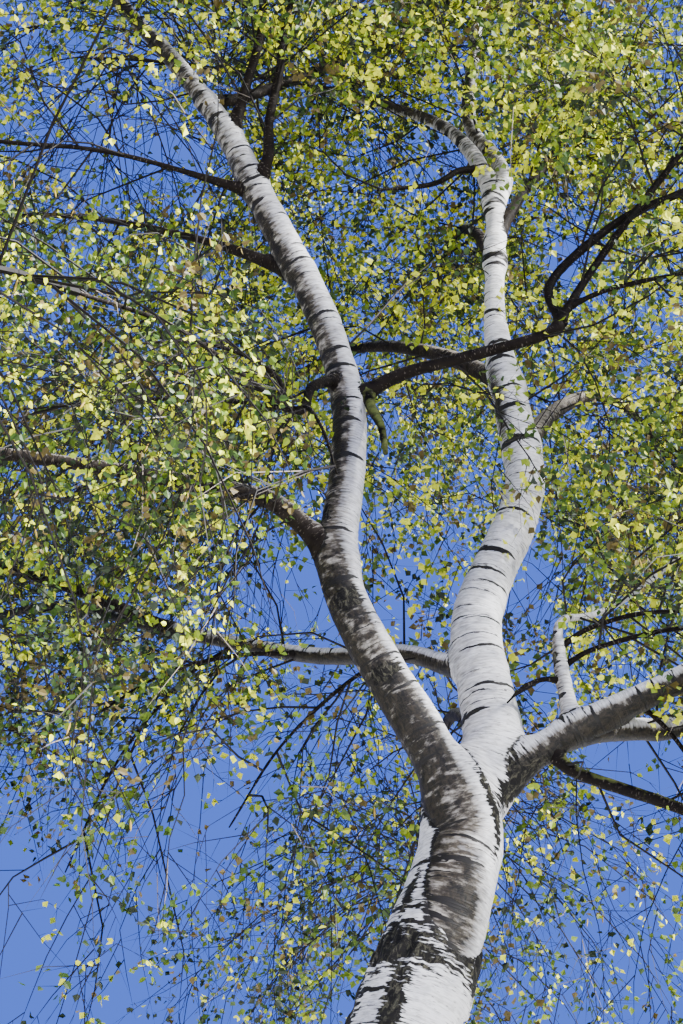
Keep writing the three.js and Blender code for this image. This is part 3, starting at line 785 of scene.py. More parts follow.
def level_arcs(make, place, sway, ragged, spacing, half_thickness):
    """Dark arcs part of the way round a stem.

    Each band of the stem has one arc, with a level, a side, a length and a thickness of its own.
    """
    axes = make("ShaderNodeSeparateXYZ", {0: place}).outputs
    around = make("ShaderNodeCombineXYZ", {"X": axes["X"], "Y": axes["Y"]}).outputs[0]
    around = make("ShaderNodeVectorMath", {0: around}, operation="NORMALIZE").outputs[0]
    run = make("ShaderNodeMath", {0: sway, 1: ARC_SWAY, 2: axes["Z"]}, operation="MULTIPLY_ADD").outputs[0]
    level = make("ShaderNodeMath", {0: run, 1: 1 / spacing}, operation="MULTIPLY").outputs[0]
    band = make("ShaderNodeMath", {0: level}, operation="FLOOR").outputs[0]
    drawn = make("ShaderNodeTexWhiteNoise", {"W": band}, noise_dimensions="1D").outputs
    draws = make("ShaderNodeSeparateXYZ", {0: drawn["Color"]}).outputs
    middle = make("ShaderNodeVectorMath", {0: drawn["Color"], 1: (2, 2, 0), 2: (-1, -1, 0)},
                  operation="MULTIPLY_ADD").outputs[0]
    middle = make("ShaderNodeVectorMath", {0: middle}, operation="NORMALIZE").outputs[0]
    turned = make("ShaderNodeVectorMath", {0: around, 1: middle}, operation="DOT_PRODUCT").outputs["Value"]
    luck = drawn["Value"]
    least = make("ShaderNodeMath", {0: luck, 1: 1.2, 2: -0.4}, operation="MULTIPLY_ADD").outputs[0]
    stoutness = make("ShaderNodeMath", {0: luck, 1: -1.2, 2: 1.5}, operation="MULTIPLY_ADD").outputs[0]
    taper = make("ShaderNodeMath", {0: turned, 1: least}, operation="SUBTRACT").outputs[0]
    taper = make("ShaderNodeMapRange", {0: taper, 1: 0, 2: 1.1}).outputs[0]
    taper = make("ShaderNodeMath", {0: taper, 1: 0.6}, operation="POWER").outputs[0]
    share = make("ShaderNodeMath", {0: level}, operation="FRACT").outputs[0]
    home = make("ShaderNodeMath", {0: draws["Z"], 1: 0.6, 2: 0.2}, operation="MULTIPLY_ADD").outputs[0]
    off = make("ShaderNodeMath", {0: share, 1: home}, operation="SUBTRACT").outputs[0]
    off = make("ShaderNodeMath", {0: off}, operation="ABSOLUTE").outputs[0]
    uneven = make("ShaderNodeMath", {0: ragged, 1: 2.4, 2: -0.3}, operation="MULTIPLY_ADD").outputs[0]
    half = make("ShaderNodeMath", {0: taper, 1: uneven}, operation="MULTIPLY").outputs[0]
    half = make("ShaderNodeMath", {0: half, 1: stoutness}, operation="MULTIPLY").outputs[0]
    inside = make("ShaderNodeMath", {0: half, 1: half_thickness / spacing}, operation="MULTIPLY").outputs[0]
    inside = make("ShaderNodeMath", {0: inside, 1: off}, operation="SUBTRACT").outputs[0]
    return make("ShaderNodeMapRange", {0: inside, 1: 0, 2: ARC_EDGE / spacing}).outputs[0]


def sunlit_tone(make, clouds, streaks, pores):
    """Chalky white with faint clouds, grey peeling streaks and brown pores."""
    white = make("ShaderNodeMix", {0: clouds, 6: "#FAF8F5", 7: "#DAD8DA"}, data_type="RGBA").outputs[2]
    streaky = make("ShaderNodeMapRange", {0: streaks, 1: 0.5, 2: 0.75, 3: 0, 4: 0.6}).outputs[0]
    streaked = make("ShaderNodeMix", {0: streaky, 6: white, 7: "#8F8A86"}, data_type="RGBA").outputs[2]
    porous = make("ShaderNodeMapRange", {0: pores, 1: 0.66, 2: 0.71, 3: 0, 4: 0.7}).outputs[0]
    return make("ShaderNodeMix", {0: porous, 6: streaked, 7: "#5A5048"}, data_type="RGBA").outputs[2]


def shaded_sheltered_tone(make, mottle, cracks, dusk):
    """Mottled brown-grey, partly weathered bark and partly painted shade, and rough and almost black where
    the painted shade is deep.
    """
    light = make("ShaderNodeMapRange", {0: mottle, 1: 0.47, 2: 0.68}).outputs[0]
    dusky = make("ShaderNodeMix", {0: light, 6: "#5D5447", 7: "#B5AEA3"}, data_type="RGBA").outputs[2]
    # Painted shade darkens the mottle towards almost black
    gloom = make("ShaderNodeMath", {0: dusk, 1: -0.22, 2: mottle}, operation="MULTIPLY_ADD").outputs[0]
    dim = make("ShaderNodeMapRange", {0: gloom, 1: 0.32, 2: 0.53}).outputs[0]
    rough = make("ShaderNodeMapRange", {0: cracks, 1: 0.42, 2: 0.72}).outputs[0]
    gloomy = make("ShaderNodeMix", {0: rough, 6: "#0E0B08", 7: "#3E3629"}, data_type="RGBA").outputs[2]
    return make("ShaderNodeMix", {0: dim, 6: gloomy, 7: dusky}, data_type="RGBA").outputs[2]


def crust_tone(make, clouds, plates):
    """Grey plates, greenish with lichen here and there, and black cracks between them."""
    lichened = make("ShaderNodeMix", {0: clouds, 6: "#8A8273", 7: "#5C5E42"}, data_type="RGBA").outputs[2]
    return make("ShaderNodeMix", {0: plates, 6: "#0F0D0B", 7: lichened}, data_type="RGBA").outputs[2]


def paper_bark():
    """Outer bark of a silver birch, which peels in papery layers.

    Chalky and dull, almost white where sun and rain reach it and mottled brown-grey on the sheltered side,
    which is partly weathered bark and partly painted shade, with fine level streaks and pores, black arcs,
    and black fissured crust on old parts.
    """
    material, tree, surface = new_material("birch_paper_bark", roughness=0.6, specular=0.3)
    make = functools.partial(add_node, tree)
    place = make("ShaderNodeAttribute", attribute_name="bark_place").outputs["Vector"]
    crust, crease, shelter, dusk = bark_marks(make, "crust", "crease", "shelter", "dusk")

    # Clouds about 110 mm across, and ragged level edges about 40 mm by 9 mm
    clouds = make("ShaderNodeTexNoise", {"Vector": place, "Scale": 9, "Detail": 3}).outputs["Fac"]
    ragged = stretched_noise(make, place, 26, 110, Detail=6)
    # Fine peeling streaks about 70 mm by 5 mm, and pores about 30 mm by 3 mm
    streaks = stretched_noise(make, place, 14, 190, Detail=4)
    pores = stretched_noise(make, place, 34, 290, Detail=1)
    # Mottling of the sheltered side, from about 60 mm by 25 mm down to a few millimetres
    mottle = stretched_noise(make, place, 17, 38, Detail=7, Roughness=0.66)
    # Ridges of crust about 15 mm by 30 mm, broken up to a millimetre or two
    cracks = stretched_noise(make, place, 64, 30, Detail=8, Roughness=0.72, Distortion=0.8)

    pored = sunlit_tone(make, clouds, streaks, pores)
    dusky = shaded_sheltered_tone(make, mottle, cracks, dusk)
    # Painted shade and weathered brown together turn the white towards the sheltered tone
    drift = make("ShaderNodeMath", {0: ragged, 1: 1.6, 2: -0.8}, operation="MULTIPLY_ADD").outputs[0]
    shaded_and_sheltered = make("ShaderNodeMath", {0: dusk, 1: 0.9, 2: shelter}, operation="MULTIPLY_ADD").outputs[0]
    shaded_and_sheltered = make("ShaderNodeMath", {0: shaded_and_sheltered, 1: drift}, operation="ADD", use_clamp=True).outputs[0]
    sided = make("ShaderNodeMix", {0: shaded_and_sheltered, 6: pored, 7: dusky}, data_type="RGBA").outputs[2]

    bold = level_arcs(make, place, clouds, ragged, *BOLD_ARCS)
    faint = level_arcs(make, place, mottle, ragged, *FAINT_ARCS)
    arcs = make("ShaderNodeMath", {0: bold, 1: faint}, operation="MAXIMUM").outputs[0]

    edge = make("ShaderNodeMath", {0: ragged, 1: 2.0, 2: -1.0}, operation="MULTIPLY_ADD").outputs[0]
    edge = make("ShaderNodeMath", {0: mottle, 1: 1.2, 2: edge}, operation="MULTIPLY_ADD").outputs[0]
    crusted = make("ShaderNodeMath", {0: crust, 1: edge}, operation="ADD").outputs[0]
    crusted = make("ShaderNodeMapRange", {0: crusted, 1: 1.08, 2: 1.28}).outputs[0]
    creased = make("ShaderNodeMath", {0: crease, 1: edge}, operation="ADD").outputs[0]
    creased = make("ShaderNodeMapRange", {0: creased, 1: 1.1, 2: 1.4}).outputs[0]

    black = make("ShaderNodeMath", {0: arcs, 1: creased}, operation="MAXIMUM").outputs[0]
    plates = make("ShaderNodeMapRange", {0: cracks, 1: 0.5, 2: 0.78}).outputs[0]
    old = crust_tone(make, clouds, plates)
    marked = make("ShaderNodeMix", {0: black, 6: sided, 7: "#191613"}, data_type="RGBA").outputs[2]
    coloured = make("ShaderNodeMix", {0: crusted, 6: marked, 7: old}, data_type="RGBA").outputs[2]
    tree.links.new(coloured, surface.inputs["Base Color"])

    gloss = make("ShaderNodeMapRange", {0: crusted, 3: 0.58, 4: 0.92}).outputs[0]
    tree.links.new(gloss, surface.inputs["Roughness"])
    dents = make("ShaderNodeMath", {0: black, 1: -0.5, 2: streaks}, operation="MULTIPLY_ADD").outputs[0]
    ledges = make("ShaderNodeMath", {0: plates, 1: crusted, 2: dents}, operation="MULTIPLY_ADD").outputs[0]
    bump = make("ShaderNodeBump", {"Height": ledges, "Strength": 0.6, "Distance": 0.007}).outputs[0]
    tree.links.new(bump, surface.inputs["Normal"])
    return material


def bough_bark():
    """Bark of boughs too thin to have turned papery: brown and tight, with pale pores.

    It bleaches to a dull grey on top, and a painted highlight lightens the sunlit top edge as well; painted
    shade darkens the underside. Green algae and moss grow on the damp ones.
    """
    material, tree, surface = new_material("birch_bough_bark", roughness=0.85, specular=0.08)
    make = functools.partial(add_node, tree)
    place = make("ShaderNodeAttribute", attribute_name="bark_place").outputs["Vector"]
    crease, weather, stout, moss = bark_marks(make, "crease", "weather", "stout", "moss")

    # Blotches about 50 mm across, grain about 22 mm by 9 mm, and pores about 14 mm by 4 mm, coarser than
    # the real ones so that they show
    clouds = make("ShaderNodeTexNoise", {"Vector": place, "Scale": 20, "Detail": 6}).outputs["Fac"]
    fine = stretched_noise(make, place, 45, 110, Detail=5)
    pores = stretched_noise(make, place, 70, 240, Detail=0)

    spread = make("ShaderNodeMapRange", {0: clouds, 1: 0.35, 2: 0.65}).outputs[0]
    thin = make("ShaderNodeMix", {0: spread, 6: "#050403", 7: "#14100D"}, data_type="RGBA").outputs[2]
    thick = make("ShaderNodeMix", {0: spread, 6: "#17120F", 7: "#5A5046"}, data_type="RGBA").outputs[2]
    brown = make("ShaderNodeMix", {0: stout, 6: thin, 7: thick}, data_type="RGBA").outputs[2]
    # Painted shade: the underside turns almost black where it faces away from the sun
    shaded_underside = make("ShaderNodeMapRange", {0: weather, 1: -0.6, 2: 0.2, 3: 0.75, 4: 0}).outputs[0]
    brown = make("ShaderNodeMix", {0: shaded_underside, 6: brown, 7: "#15100D"}, data_type="RGBA").outputs[2]
    # Lighter top: real bleaching on stout boughs, and painted light on the sunlit top edge
    bleach_and_light = make("ShaderNodeMath", {0: fine, 1: 2.2, 2: -1.1}, operation="MULTIPLY_ADD").outputs[0]
    bleach_and_light = make("ShaderNodeMath", {0: bleach_and_light, 1: weather}, operation="ADD").outputs[0]
    bleach_and_light = make("ShaderNodeMath", {0: stout, 1: 0.9, 2: bleach_and_light}, operation="MULTIPLY_ADD").outputs[0]
    bleach_and_light = make("ShaderNodeMapRange", {0: bleach_and_light, 1: 0.7, 2: 0.9, 3: 0, 4: 0.9}).outputs[0]
    topped = make("ShaderNodeMix", {0: bleach_and_light, 6: brown, 7: "#938B80"}, data_type="RGBA").outputs[2]
    porous = make("ShaderNodeMapRange", {0: pores, 1: 0.72, 2: 0.78, 3: 0, 4: 0.25}).outputs[0]
    pored = make("ShaderNodeMix", {0: porous, 6: topped, 7: "#A79A8C"}, data_type="RGBA").outputs[2]

    arcs = level_arcs(make, place, clouds, fine, *BOUGH_ARCS)
    dark = make("ShaderNodeMath", {0: arcs, 1: crease}, operation="MAXIMUM", use_clamp=True).outputs[0]
    ringed = make("ShaderNodeMix", {0: dark, 6: pored, 7: "#1C1714"}, data_type="RGBA").outputs[2]

    damp = make("ShaderNodeMath", {0: clouds, 1: 1.6, 2: -0.8}, operation="MULTIPLY_ADD").outputs[0]
    damp = make("ShaderNodeMath", {0: damp, 1: moss}, operation="ADD").outputs[0]
    damp = make("ShaderNodeMapRange", {0: damp, 1: 0.35, 2: 0.75, 3: 0, 4: 0.85}).outputs[0]
    green = make("ShaderNodeMix", {0: fine, 6: "#4A5224", 7: "#8A9250"}, data_type="RGBA").outputs[2]
    coloured = make("ShaderNodeMix", {0: damp, 6: ringed, 7: green}, data_type="RGBA").outputs[2]
    tree.links.new(coloured, surface.inputs["Base Color"])

    gloss = make("ShaderNodeMapRange", {0: damp, 3: 0.7, 4: 0.95}).outputs[0]
    tree.links.new(gloss, surface.inputs["Roughness"])
    bump = make("ShaderNodeBump", {"Height": fine, "Strength": 0.5, "Distance": 0.005}).outputs[0]
    tree.links.new(bump, surface.inputs["Normal"])
    return material


# Crown

# Each mass reaches out from a heart that lies past its limb's tip. Shares are of the reach.
MASS_REACH = 1.75
MASS_HEIGHT = 1.15
HEART_OUT = 0.3
HEART_DROP = 0.1
SKIRT_HEIGHT = 2.9

# Low boughs hang more: the hang is 0 at the high level and 1 at the low one.
HANG_LEVELS = (8.5, 5.6)
HANG_DROP = 0.45
HANG_RISE = -35
HANG_LENGTH = 0.25

GOLDEN_ANGLE = 137.5
GOLDEN_SHARE = 0.618
SEEDS_PER_MASS = 100

# One stem runs on from each limb, and side twigs leave it. Ranges are (least, most).
# The rules also say how far twigs lean from what bears them, and how they weep at each joint.
STEM_TWIG = {"length": 1.25, "joints": 4, "weep": 0.1}
SIDE_TWIG = {
    "length": (1.015, 1.67), "joints": 4, "weep": 0.5, "rise": (-10, 60), "turn": (-30, 30),
    "along": (0.08, 0.92), "scatter": (0, 0.15),
}
SIDE_TWIG_TRIES = 50
SIDE_TWIG_DIAMETER = 0.011

# Twigs along the boughs, and ever finer ones on all of these
BOUGH_TWIG = {
    "spacing": 0.13, "from": 0.2, "length": (0.5, 1.3), "joints": 4, "weep": (0.1, 0.4), "lean": (35, 75),
    "diameter": 0.011,
}
STEM_SIDE_TWIG = {
    "spacing": 0.16, "from": 0.4, "length": (0.7, 1.6), "joints": 4, "weep": (0.05, 0.3), "lean": (45, 80),
    "diameter": 0.011,
}
HANGING_TWIG = {
    "count": 2, "length": (0.5, 1.25), "joints": 4, "weep": (0.5, 1.0), "lean": (20, 60),
    "along": (0.35, 1.0), "scatter": 0.5, "diameter": 0.0065,
}
FINE_TWIG = {
    "count": 9, "length": (0.24, 0.6), "joints": 2, "weep": (0.2, 0.8), "lean": (25, 65),
    "along": (0.1, 1.0), "scatter": 0.2, "diameter": 0.005,
}
SHOOT = {
    "count": 3, "length": (0.07, 0.2), "joints": 1, "weep": (0.0, 0.3), "lean": (25, 70),
    "along": (0.12, 1.0), "scatter": 0.2, "diameter": 0.0026,
}
TWIG_TAPER = 0.6
KINK = 0.24
# Finer twigs turn at random up to this angle, and get shorter towards the tip of what bears them
FINER_TURN = 40
LENGTH_AT_ROOT = 1.15
LENGTH_LOST = 0.4
STOUT_TWIG_SIDES = 5
TWIG_SIDES = 3

# Leaves sit in tufts on the shoots. Shares are of the shoot's length.
LEAF_PLACES = (0.3, 0.55, 0.8, 0.98, 1.0, 1.0)
LEAF_LENGTH = (0.026, 0.041)
NEAR_LEAF_LENGTH = (0.016, 0.031)
# Past the sides of the picture, where the twigs are fewer
OUTER_LEAF_LENGTH = (0.032, 0.05)
LEAF_STALK = 0.012
LEAF_CHANCE = 0.84
NEAR_DEPTH = 6.6
# How far a leaf follows its shoot's heading, and how far it droops
LEAF_FOLLOWS = 0.45
LEAF_DROOPS = 0.35

# Half outlines of a leaf: across, along and lift, as shares of its length. Near leaves have more points.
NEAR_LEAF = [(0.34, 0.16, 0.08), (0.36, 0.58, 0.08)]
FAR_LEAF = [(0.42, 0.38, 0.1)]
LEAF_CURL = -0.06

# Young leaves in tints that paint light and shade, from the sunlit glow of the outside of the crown to the
# shade of its inside, and bronze ones still unfolding
LEAF_TINTS = {
    "lemon": "#D2D61E",
    "spring": "#80930C",
    "fresh": "#566D0C",
    "grass": "#324C0A",
    "shade": "#172607",
    "bronze": "#574A1A",
}
TINT_WEIGHTS_SUNNY = [0.38, 0.26, 0.15, 0.10, 0.06, 0.05]
TINT_WEIGHTS_SHADY = [0.04, 0.10, 0.18, 0.26, 0.26, 0.16]
# The side of the crown that gets most light, how sunny its middle is, and how that varies
LIT_SIDE = unit(np.array([0.7, -0.35, 1.0]))
SUNNY_MIDDLE = 0.48
SUNNY_SPREAD = 0.22
SUNNY_CLUMPING = 0.3

# Gaps where more sky shows through the crown: column, row, half width and half height in the picture
SKY_GAPS = [
    (640, 765, 62, 32), (110, 150, 95, 44), (290, 590, 50, 40), (410, 160, 62, 30), (535, 595, 28, 44),
    (570, 235, 30, 52), (28, 930, 42, 92), (182, 838, 50, 56),
]
GAP_SHARE_KEPT = 0.35
RAGGED_EDGE = (0.65, 1.15)
# Where the twigs are as many but carry fewer leaves, in the same form, and the share of leaves kept
LEAFLESS = [
    (110, 110, 150, 130), (130, 880, 230, 170), (590, 900, 150, 180), (330, 800, 90, 150),
    (270, 620, 110, 60),
]
LEAFLESS_SHARE_KEPT = 0.55
NEAREST_SPRAY = 4.9
# Close in front the sprays are fewer, and in these parts of the picture they are most
THINNED_DEPTH = 7.4
THINNED_SHARE_KEPT = 0.5
CROWDED = [
    (630, 370, 160, 300), (560, 60, 160, 120), (340, 80, 130, 110), (420, 260, 60, 200), (150, 420, 170, 160),
    (480, 480, 60, 90),
]
CROWDED_SHARE_KEPT = 0.75
UNCROWDED_SHARE_KEPT = 0.5
OUTER_SHARE_KEPT = 0.62
# What counts as in the picture: a share of its width each way from its middle, and rows past its edges
SEEN_WIDTH = 0.6
SEEN_ROWS_BEYOND = 60
# Sprays come in clumps of about this size, and so do their tints
CLUMP_SIZE = 0.45
CLUMP_SEED = 23
CLUMPING = 0.9
# Limbs that stand clear of leaves in the picture: the share of the length that shows, and the margin
SIGHT_LIMBS = {
    "trunk": (1, 0.045), "left_stem": (0.62, 0.04), "right_stem": (0.9, 0.03),
    "front_left_bough": (0.25, 0.02), "left_back_bough": (0.5, 0.02), "middle_bough": (1, 0.015),
    "right_bough": (0.7, 0.03), "upper_left_bough": (0.8, 0.01), "middle_upper_bough": (0.6, 0.01),
    "upright_bough": (0.5, 0.015), "grey_bough": (0.45, 0.01), "front_upright_bough": (0.5, 0.015),
    "left_upright_bough": (0.55, 0.015),
}
SIGHT_DEPTH = 0.35
# Rows of the picture where leaves veil the right stem
VEILED_ROWS = (335, 600)
# How far twigs may reach past the box of the solids
BOX_MARGIN = 0.16
# Limbs with no twigs of their own along them
STOUT_LIMBS = {"trunk", "broken_hook", "right_bough"}
STEMS = ("left_stem", "right_stem")
# How far a stem's own twig comes forward in its first joint at most, in front of the stem's bark
STEM_TWIG_FORWARD = 0.04

PIECE_TRIANGLES = 190000
# The share of fine twigs in pale grey, a painted highlight
PALE_TWIG_SHARE = 0.04
CROWN_SEED = 7

CATKIN_TONE = "#9C8338"
CATKIN_CHANCE = 0.025
CATKIN_LENGTH = 0.042
CATKIN_DIAMETER = 0.007
CATKIN_SEED = 5

DRAWS = 2147483647
DRAW_STEP = 16807


@dataclass
class Mass:
    """The foliage past a limb's tip, round a heart of its own."""
    limb: Limb
    tip: np.ndarray
    leaving: np.ndarray
    heart: np.ndarray
    hang: float
    seed: int


@dataclass
class Twigs:
    """Twigs of one order. Each has a line, its mass or -1, the twig it grows on and a root diameter."""
    lines: np.ndarray
    masses: np.ndarray
    parents: np.ndarray
    diameters: np.ndarray

    def keep(self, wanted):
        """Those of the twigs that are wanted."""
        return Twigs(self.lines[wanted], self.masses[wanted], self.parents[wanted], self.diameters[wanted])


def seeded(seed):
    """A repeatable stream of numbers from 0 to 1."""
    state = (seed * 7919 + 104729) % DRAWS
    while True:
        state = state * DRAW_STEP % DRAWS
        yield state / DRAWS


def within(limits, share):
    """The value at a share of the way between two limits."""
    return limits[0] + (limits[1] - limits[0]) * share


def make_mass(limb, seed):
    """The mass past a limb's tip. Its heart drops lower where the limb is low."""
    tip = limb.stations[-1]
    leaving = unit(tip - limb.stations[-2])
    high, low = HANG_LEVELS
    hang = min(max((high - tip[2]) / (high - low), 0), 1)
    heart = tip + leaving * HEART_OUT * MASS_REACH - UP * (HEART_DROP + HANG_DROP * hang) * MASS_REACH
    return Mass(limb, tip, leaving, heart, hang, seed)


def drooping(starts, leaving, lengths, joints, weep, kinks=None):
    """Lines that sag a little more at each joint, and may kink there."""
    points = [starts]
    heading = unit(leaving)
    step = (lengths / joints)[:, None]
    for joint in range(joints):
        points.append(points[-1] + heading * step)
        heading = heading - UP * np.reshape(weep, (-1, 1))
        heading = unit(heading if kinks is None else heading + kinks[:, joint])
    return np.stack(points, axis=1)


def on_lines(lines, share):
    """The point at a share of each line's joints, and the heading there."""
    place = share * (lines.shape[1] - 1)
    before = np.minimum(place.astype(int), lines.shape[1] - 2)
    row = np.arange(len(lines))
    start, end = lines[row, before], lines[row, before + 1]
    return start + (end - start) * (place - before)[:, None], unit(end - start)


def side_twigs(mass, stem):
    """The side twigs that leave a mass's stem, before those outside it are left out."""
    lines = []
    for index in range(SIDE_TWIG_TRIES):
        random = seeded(mass.seed * SEEDS_PER_MASS + index)
        share = (index * GOLDEN_SHARE + within(SIDE_TWIG["scatter"], next(random))) % 1
        start, _ = on_lines(stem[None], np.array([within(SIDE_TWIG["along"], share)]))
        around = GOLDEN_ANGLE * index + within(SIDE_TWIG["turn"], next(random))
        rise = within(SIDE_TWIG["rise"], next(random)) + HANG_RISE * mass.hang
        length = within(SIDE_TWIG["length"], next(random)) * (1 + HANG_LENGTH * mass.hang)
        leaving = direction(around, rise)[None]
        lines.append(drooping(start, leaving, np.array([length]), SIDE_TWIG["joints"], SIDE_TWIG["weep"])[0])
    return np.array(lines)


def leaning(heading, around, lean):
    """Directions that lean away from a heading by some degrees, turned round it by others."""
    reference = np.where(np.abs(heading[:, 2:]) < 0.9, UP, np.array([1.0, 0, 0]))
    side = unit(np.cross(heading, reference))
    across = np.cross(heading, side)
    around, lean = np.radians(around)[:, None], np.radians(lean)[:, None]
    return heading * np.cos(lean) + (side * np.cos(around) + across * np.sin(around)) * np.sin(lean)


def bough_twigs(limb, rule, random):
    """Twigs along a bough, one in each stretch of it."""
    length = run_along(limb.line)[-1]
    first = rule["from"]
    count = max(2, int(length * (1 - first) / rule["spacing"]))
    index = np.arange(count)
    share = within((first, 1.0), (index + random.uniform(0, 1, count)) / count)
    starts, heading = on_lines(np.repeat(limb.line[None], count, axis=0), share)
    leaving = leaning(heading, GOLDEN_ANGLE * index, random.uniform(*rule["lean"], count))
    lengths = random.uniform(*rule["length"], count)
    kinks = random.normal(0, KINK, (count, rule["joints"], 3))
    lines = drooping(starts, leaving, lengths, rule["joints"], random.uniform(*rule["weep"], count), kinks)
    return Twigs(lines, np.full(count, -1), index, np.full(count, rule["diameter"]))


def finer(parents, rule, random):
    """The next order of twigs on all those there are."""
    count = rule["count"]
    row = np.repeat(np.arange(len(parents.lines)), count)
    index = np.tile(np.arange(count), len(parents.lines))
    share = within(rule["along"], (index * GOLDEN_SHARE + random.uniform(0, rule["scatter"], len(row))) % 1)
    starts, heading = on_lines(parents.lines[row], share)
    around = GOLDEN_ANGLE * index + random.uniform(-FINER_TURN, FINER_TURN, len(row))
    leaving = leaning(heading, around, random.uniform(*rule["lean"], len(row)))
    lengths = random.uniform(*rule["length"], len(row)) * (LENGTH_AT_ROOT - LENGTH_LOST * share)
    kinks = random.normal(0, KINK, (len(row), rule["joints"], 3))
    lines = drooping(starts, leaving, lengths, rule["joints"], random.uniform(*rule["weep"], len(row)), kinks)
    return Twigs(lines, parents.masses[row], row, np.full(len(row), rule["diameter"]))


def in_space(points, masses, hearts):
    """Whether each point is in its mass's reach and nearer to its heart than to any other."""
    away = points - hearts[masses]
    reach = np.linalg.norm(away / (1, 1, MASS_HEIGHT), axis=1)
    distances = np.linalg.norm(points[:, None] - hearts[None], axis=2)
    nearest = distances.min(axis=1) >= np.linalg.norm(away, axis=1) - 1e-6
    return (reach < MASS_REACH) & nearest


def in_crown(points):
    """Whether each point is above the crown's skirt and inside the tree's own size."""
    low, high = (np.array(corner) for corner in cad_box)
    low[2] = SKIRT_HEIGHT
    return ((points > low - BOX_MARGIN) & (points < high + BOX_MARGIN)).all(axis=1)


def seen_in(points, ellipses, random):
    """Whether each point lies in some parts of the picture, with ragged edges."""
    column, row, depth = in_picture(points)
    ragged = random.uniform(*RAGGED_EDGE, len(points))
    inside = np.zeros(len(points), bool)
    for middle_column, middle_row, half_width, half_height in ellipses:
        off = ((column - middle_column) / half_width) ** 2 + ((row - middle_row) / half_height) ** 2
        inside |= off < ragged
    return inside & (depth > 0)


def thinned(points, ellipses, share_kept, random):
    """Whether each point is one of those that some parts of the picture go without."""
    return seen_in(points, ellipses, random) & (random.uniform(0, 1, len(points)) > share_kept)


def in_frame(points):
    """Whether each point is in the picture or a little outside it."""
    column, row, _ = in_picture(points)
    beside = np.abs(column - PICTURE_WIDTH / 2) < PICTURE_WIDTH * SEEN_WIDTH
    return beside & (row > -SEEN_ROWS_BEYOND) & (row < PICTURE_HEIGHT + SEEN_ROWS_BEYOND)


def in_sight(points, limbs):
    """Whether each point hangs in front of a limb that stands clear, or close in front of the lookout."""
    column, row, depth = in_picture(points)
    hides = np.zeros(len(points), bool)
    for name, (shown, margin) in SIGHT_LIMBS.items():
        limb = limbs[name]
        shares = np.linspace(0, 1, len(limb.line))
        columns, rows, depths = in_picture(limb.line)
        for at_column, at_row, at_depth, share in zip(columns, rows, depths, shares):
            if share > shown or not 0 < at_row < PICTURE_HEIGHT:
                continue
            if name == "right_stem" and VEILED_ROWS[0] < at_row < VEILED_ROWS[1]:
                continue
            clearance = (girth_at(limb, share) + margin) * FOCAL_PIXELS / np.maximum(at_depth, 1)
            near = (column - at_column) ** 2 + (row - at_row) ** 2 < clearance ** 2
            hides |= near & (depth < at_depth - SIGHT_DEPTH)
    return hides | (in_frame(points) & (depth < NEAREST_SPRAY))


def allowed(twigs, hearts, limbs, random):
    """The twigs that stay in the crown, out of its gaps and off the lines of sight, and end in their mass."""
    held = twigs.masses >= 0
    wanted = np.ones(len(twigs.lines), bool)
    wanted[held] = in_space(twigs.lines[held, -1], twigs.masses[held], hearts)
    steps = 2 * (twigs.lines.shape[1] - 1)
    for step in range(1, steps + 1):
        points, _ = on_lines(twigs.lines, np.full(len(twigs.lines), step / steps))
        wanted[wanted] = in_crown(points[wanted]) & ~in_sight(points[wanted], limbs)
    wanted &= ~thinned(twigs.lines[:, -1], SKY_GAPS, GAP_SHARE_KEPT, random)
    return twigs.keep(wanted)


def joined(groups):
    """Several groups of twigs as one."""
    keys = ("lines", "masses", "parents", "diameters")
    return Twigs(*(np.concatenate([getattr(group, key) for group in groups]) for key in keys))


def twig_mesh(name, twigs, sides):
    """Tapering twigs with a point each, as one mesh."""
    lines = twigs.lines
    count, points, _ = lines.shape
    turn = np.linspace(0, 2 * math.pi, sides, endpoint=False)
    headings = unit(np.diff(lines, axis=1))
    reference = np.where(np.abs(headings[:, 0, 2:]) < 0.9, UP, np.array([1.0, 0, 0]))
    side = np.cross(headings[:, 0], reference)
    rings = []
    for joint in range(points - 1):
        heading = headings[:, joint]
        side = unit(side - heading * (side * heading).sum(axis=1, keepdims=True))
        across = np.cross(heading, side)
        radius = twigs.diameters / 2 * (1 - TWIG_TAPER * joint / (points - 1))
        spokes = side[:, None] * np.cos(turn)[:, None] + across[:, None] * np.sin(turn)[:, None]
        rings.append(lines[:, joint, None] + spokes * radius[:, None, None])
    vertices = np.concatenate([*rings, lines[:, -1:]], axis=1)
    here = np.arange(sides)
    following = (here + 1) % sides
    faces = []
    for joint in range(points - 2):
        low, high = joint * sides, (joint + 1) * sides
        faces.append(np.stack([low + here, low + following, high + following], axis=1))
        faces.append(np.stack([low + here, high + following, high + here], axis=1))
    last = (points - 2) * sides
    faces.append(np.stack([last + here, last + following, np.full(sides, (points - 1) * sides)], axis=1))
    faces = np.vstack(faces)
    per_twig = vertices.shape[1]
    all_faces = faces[None] + (np.arange(count) * per_twig)[:, None, None]
    return mesh_from(name, vertices.reshape(-1, 3), all_faces.reshape(-1, 3), smooth=False)


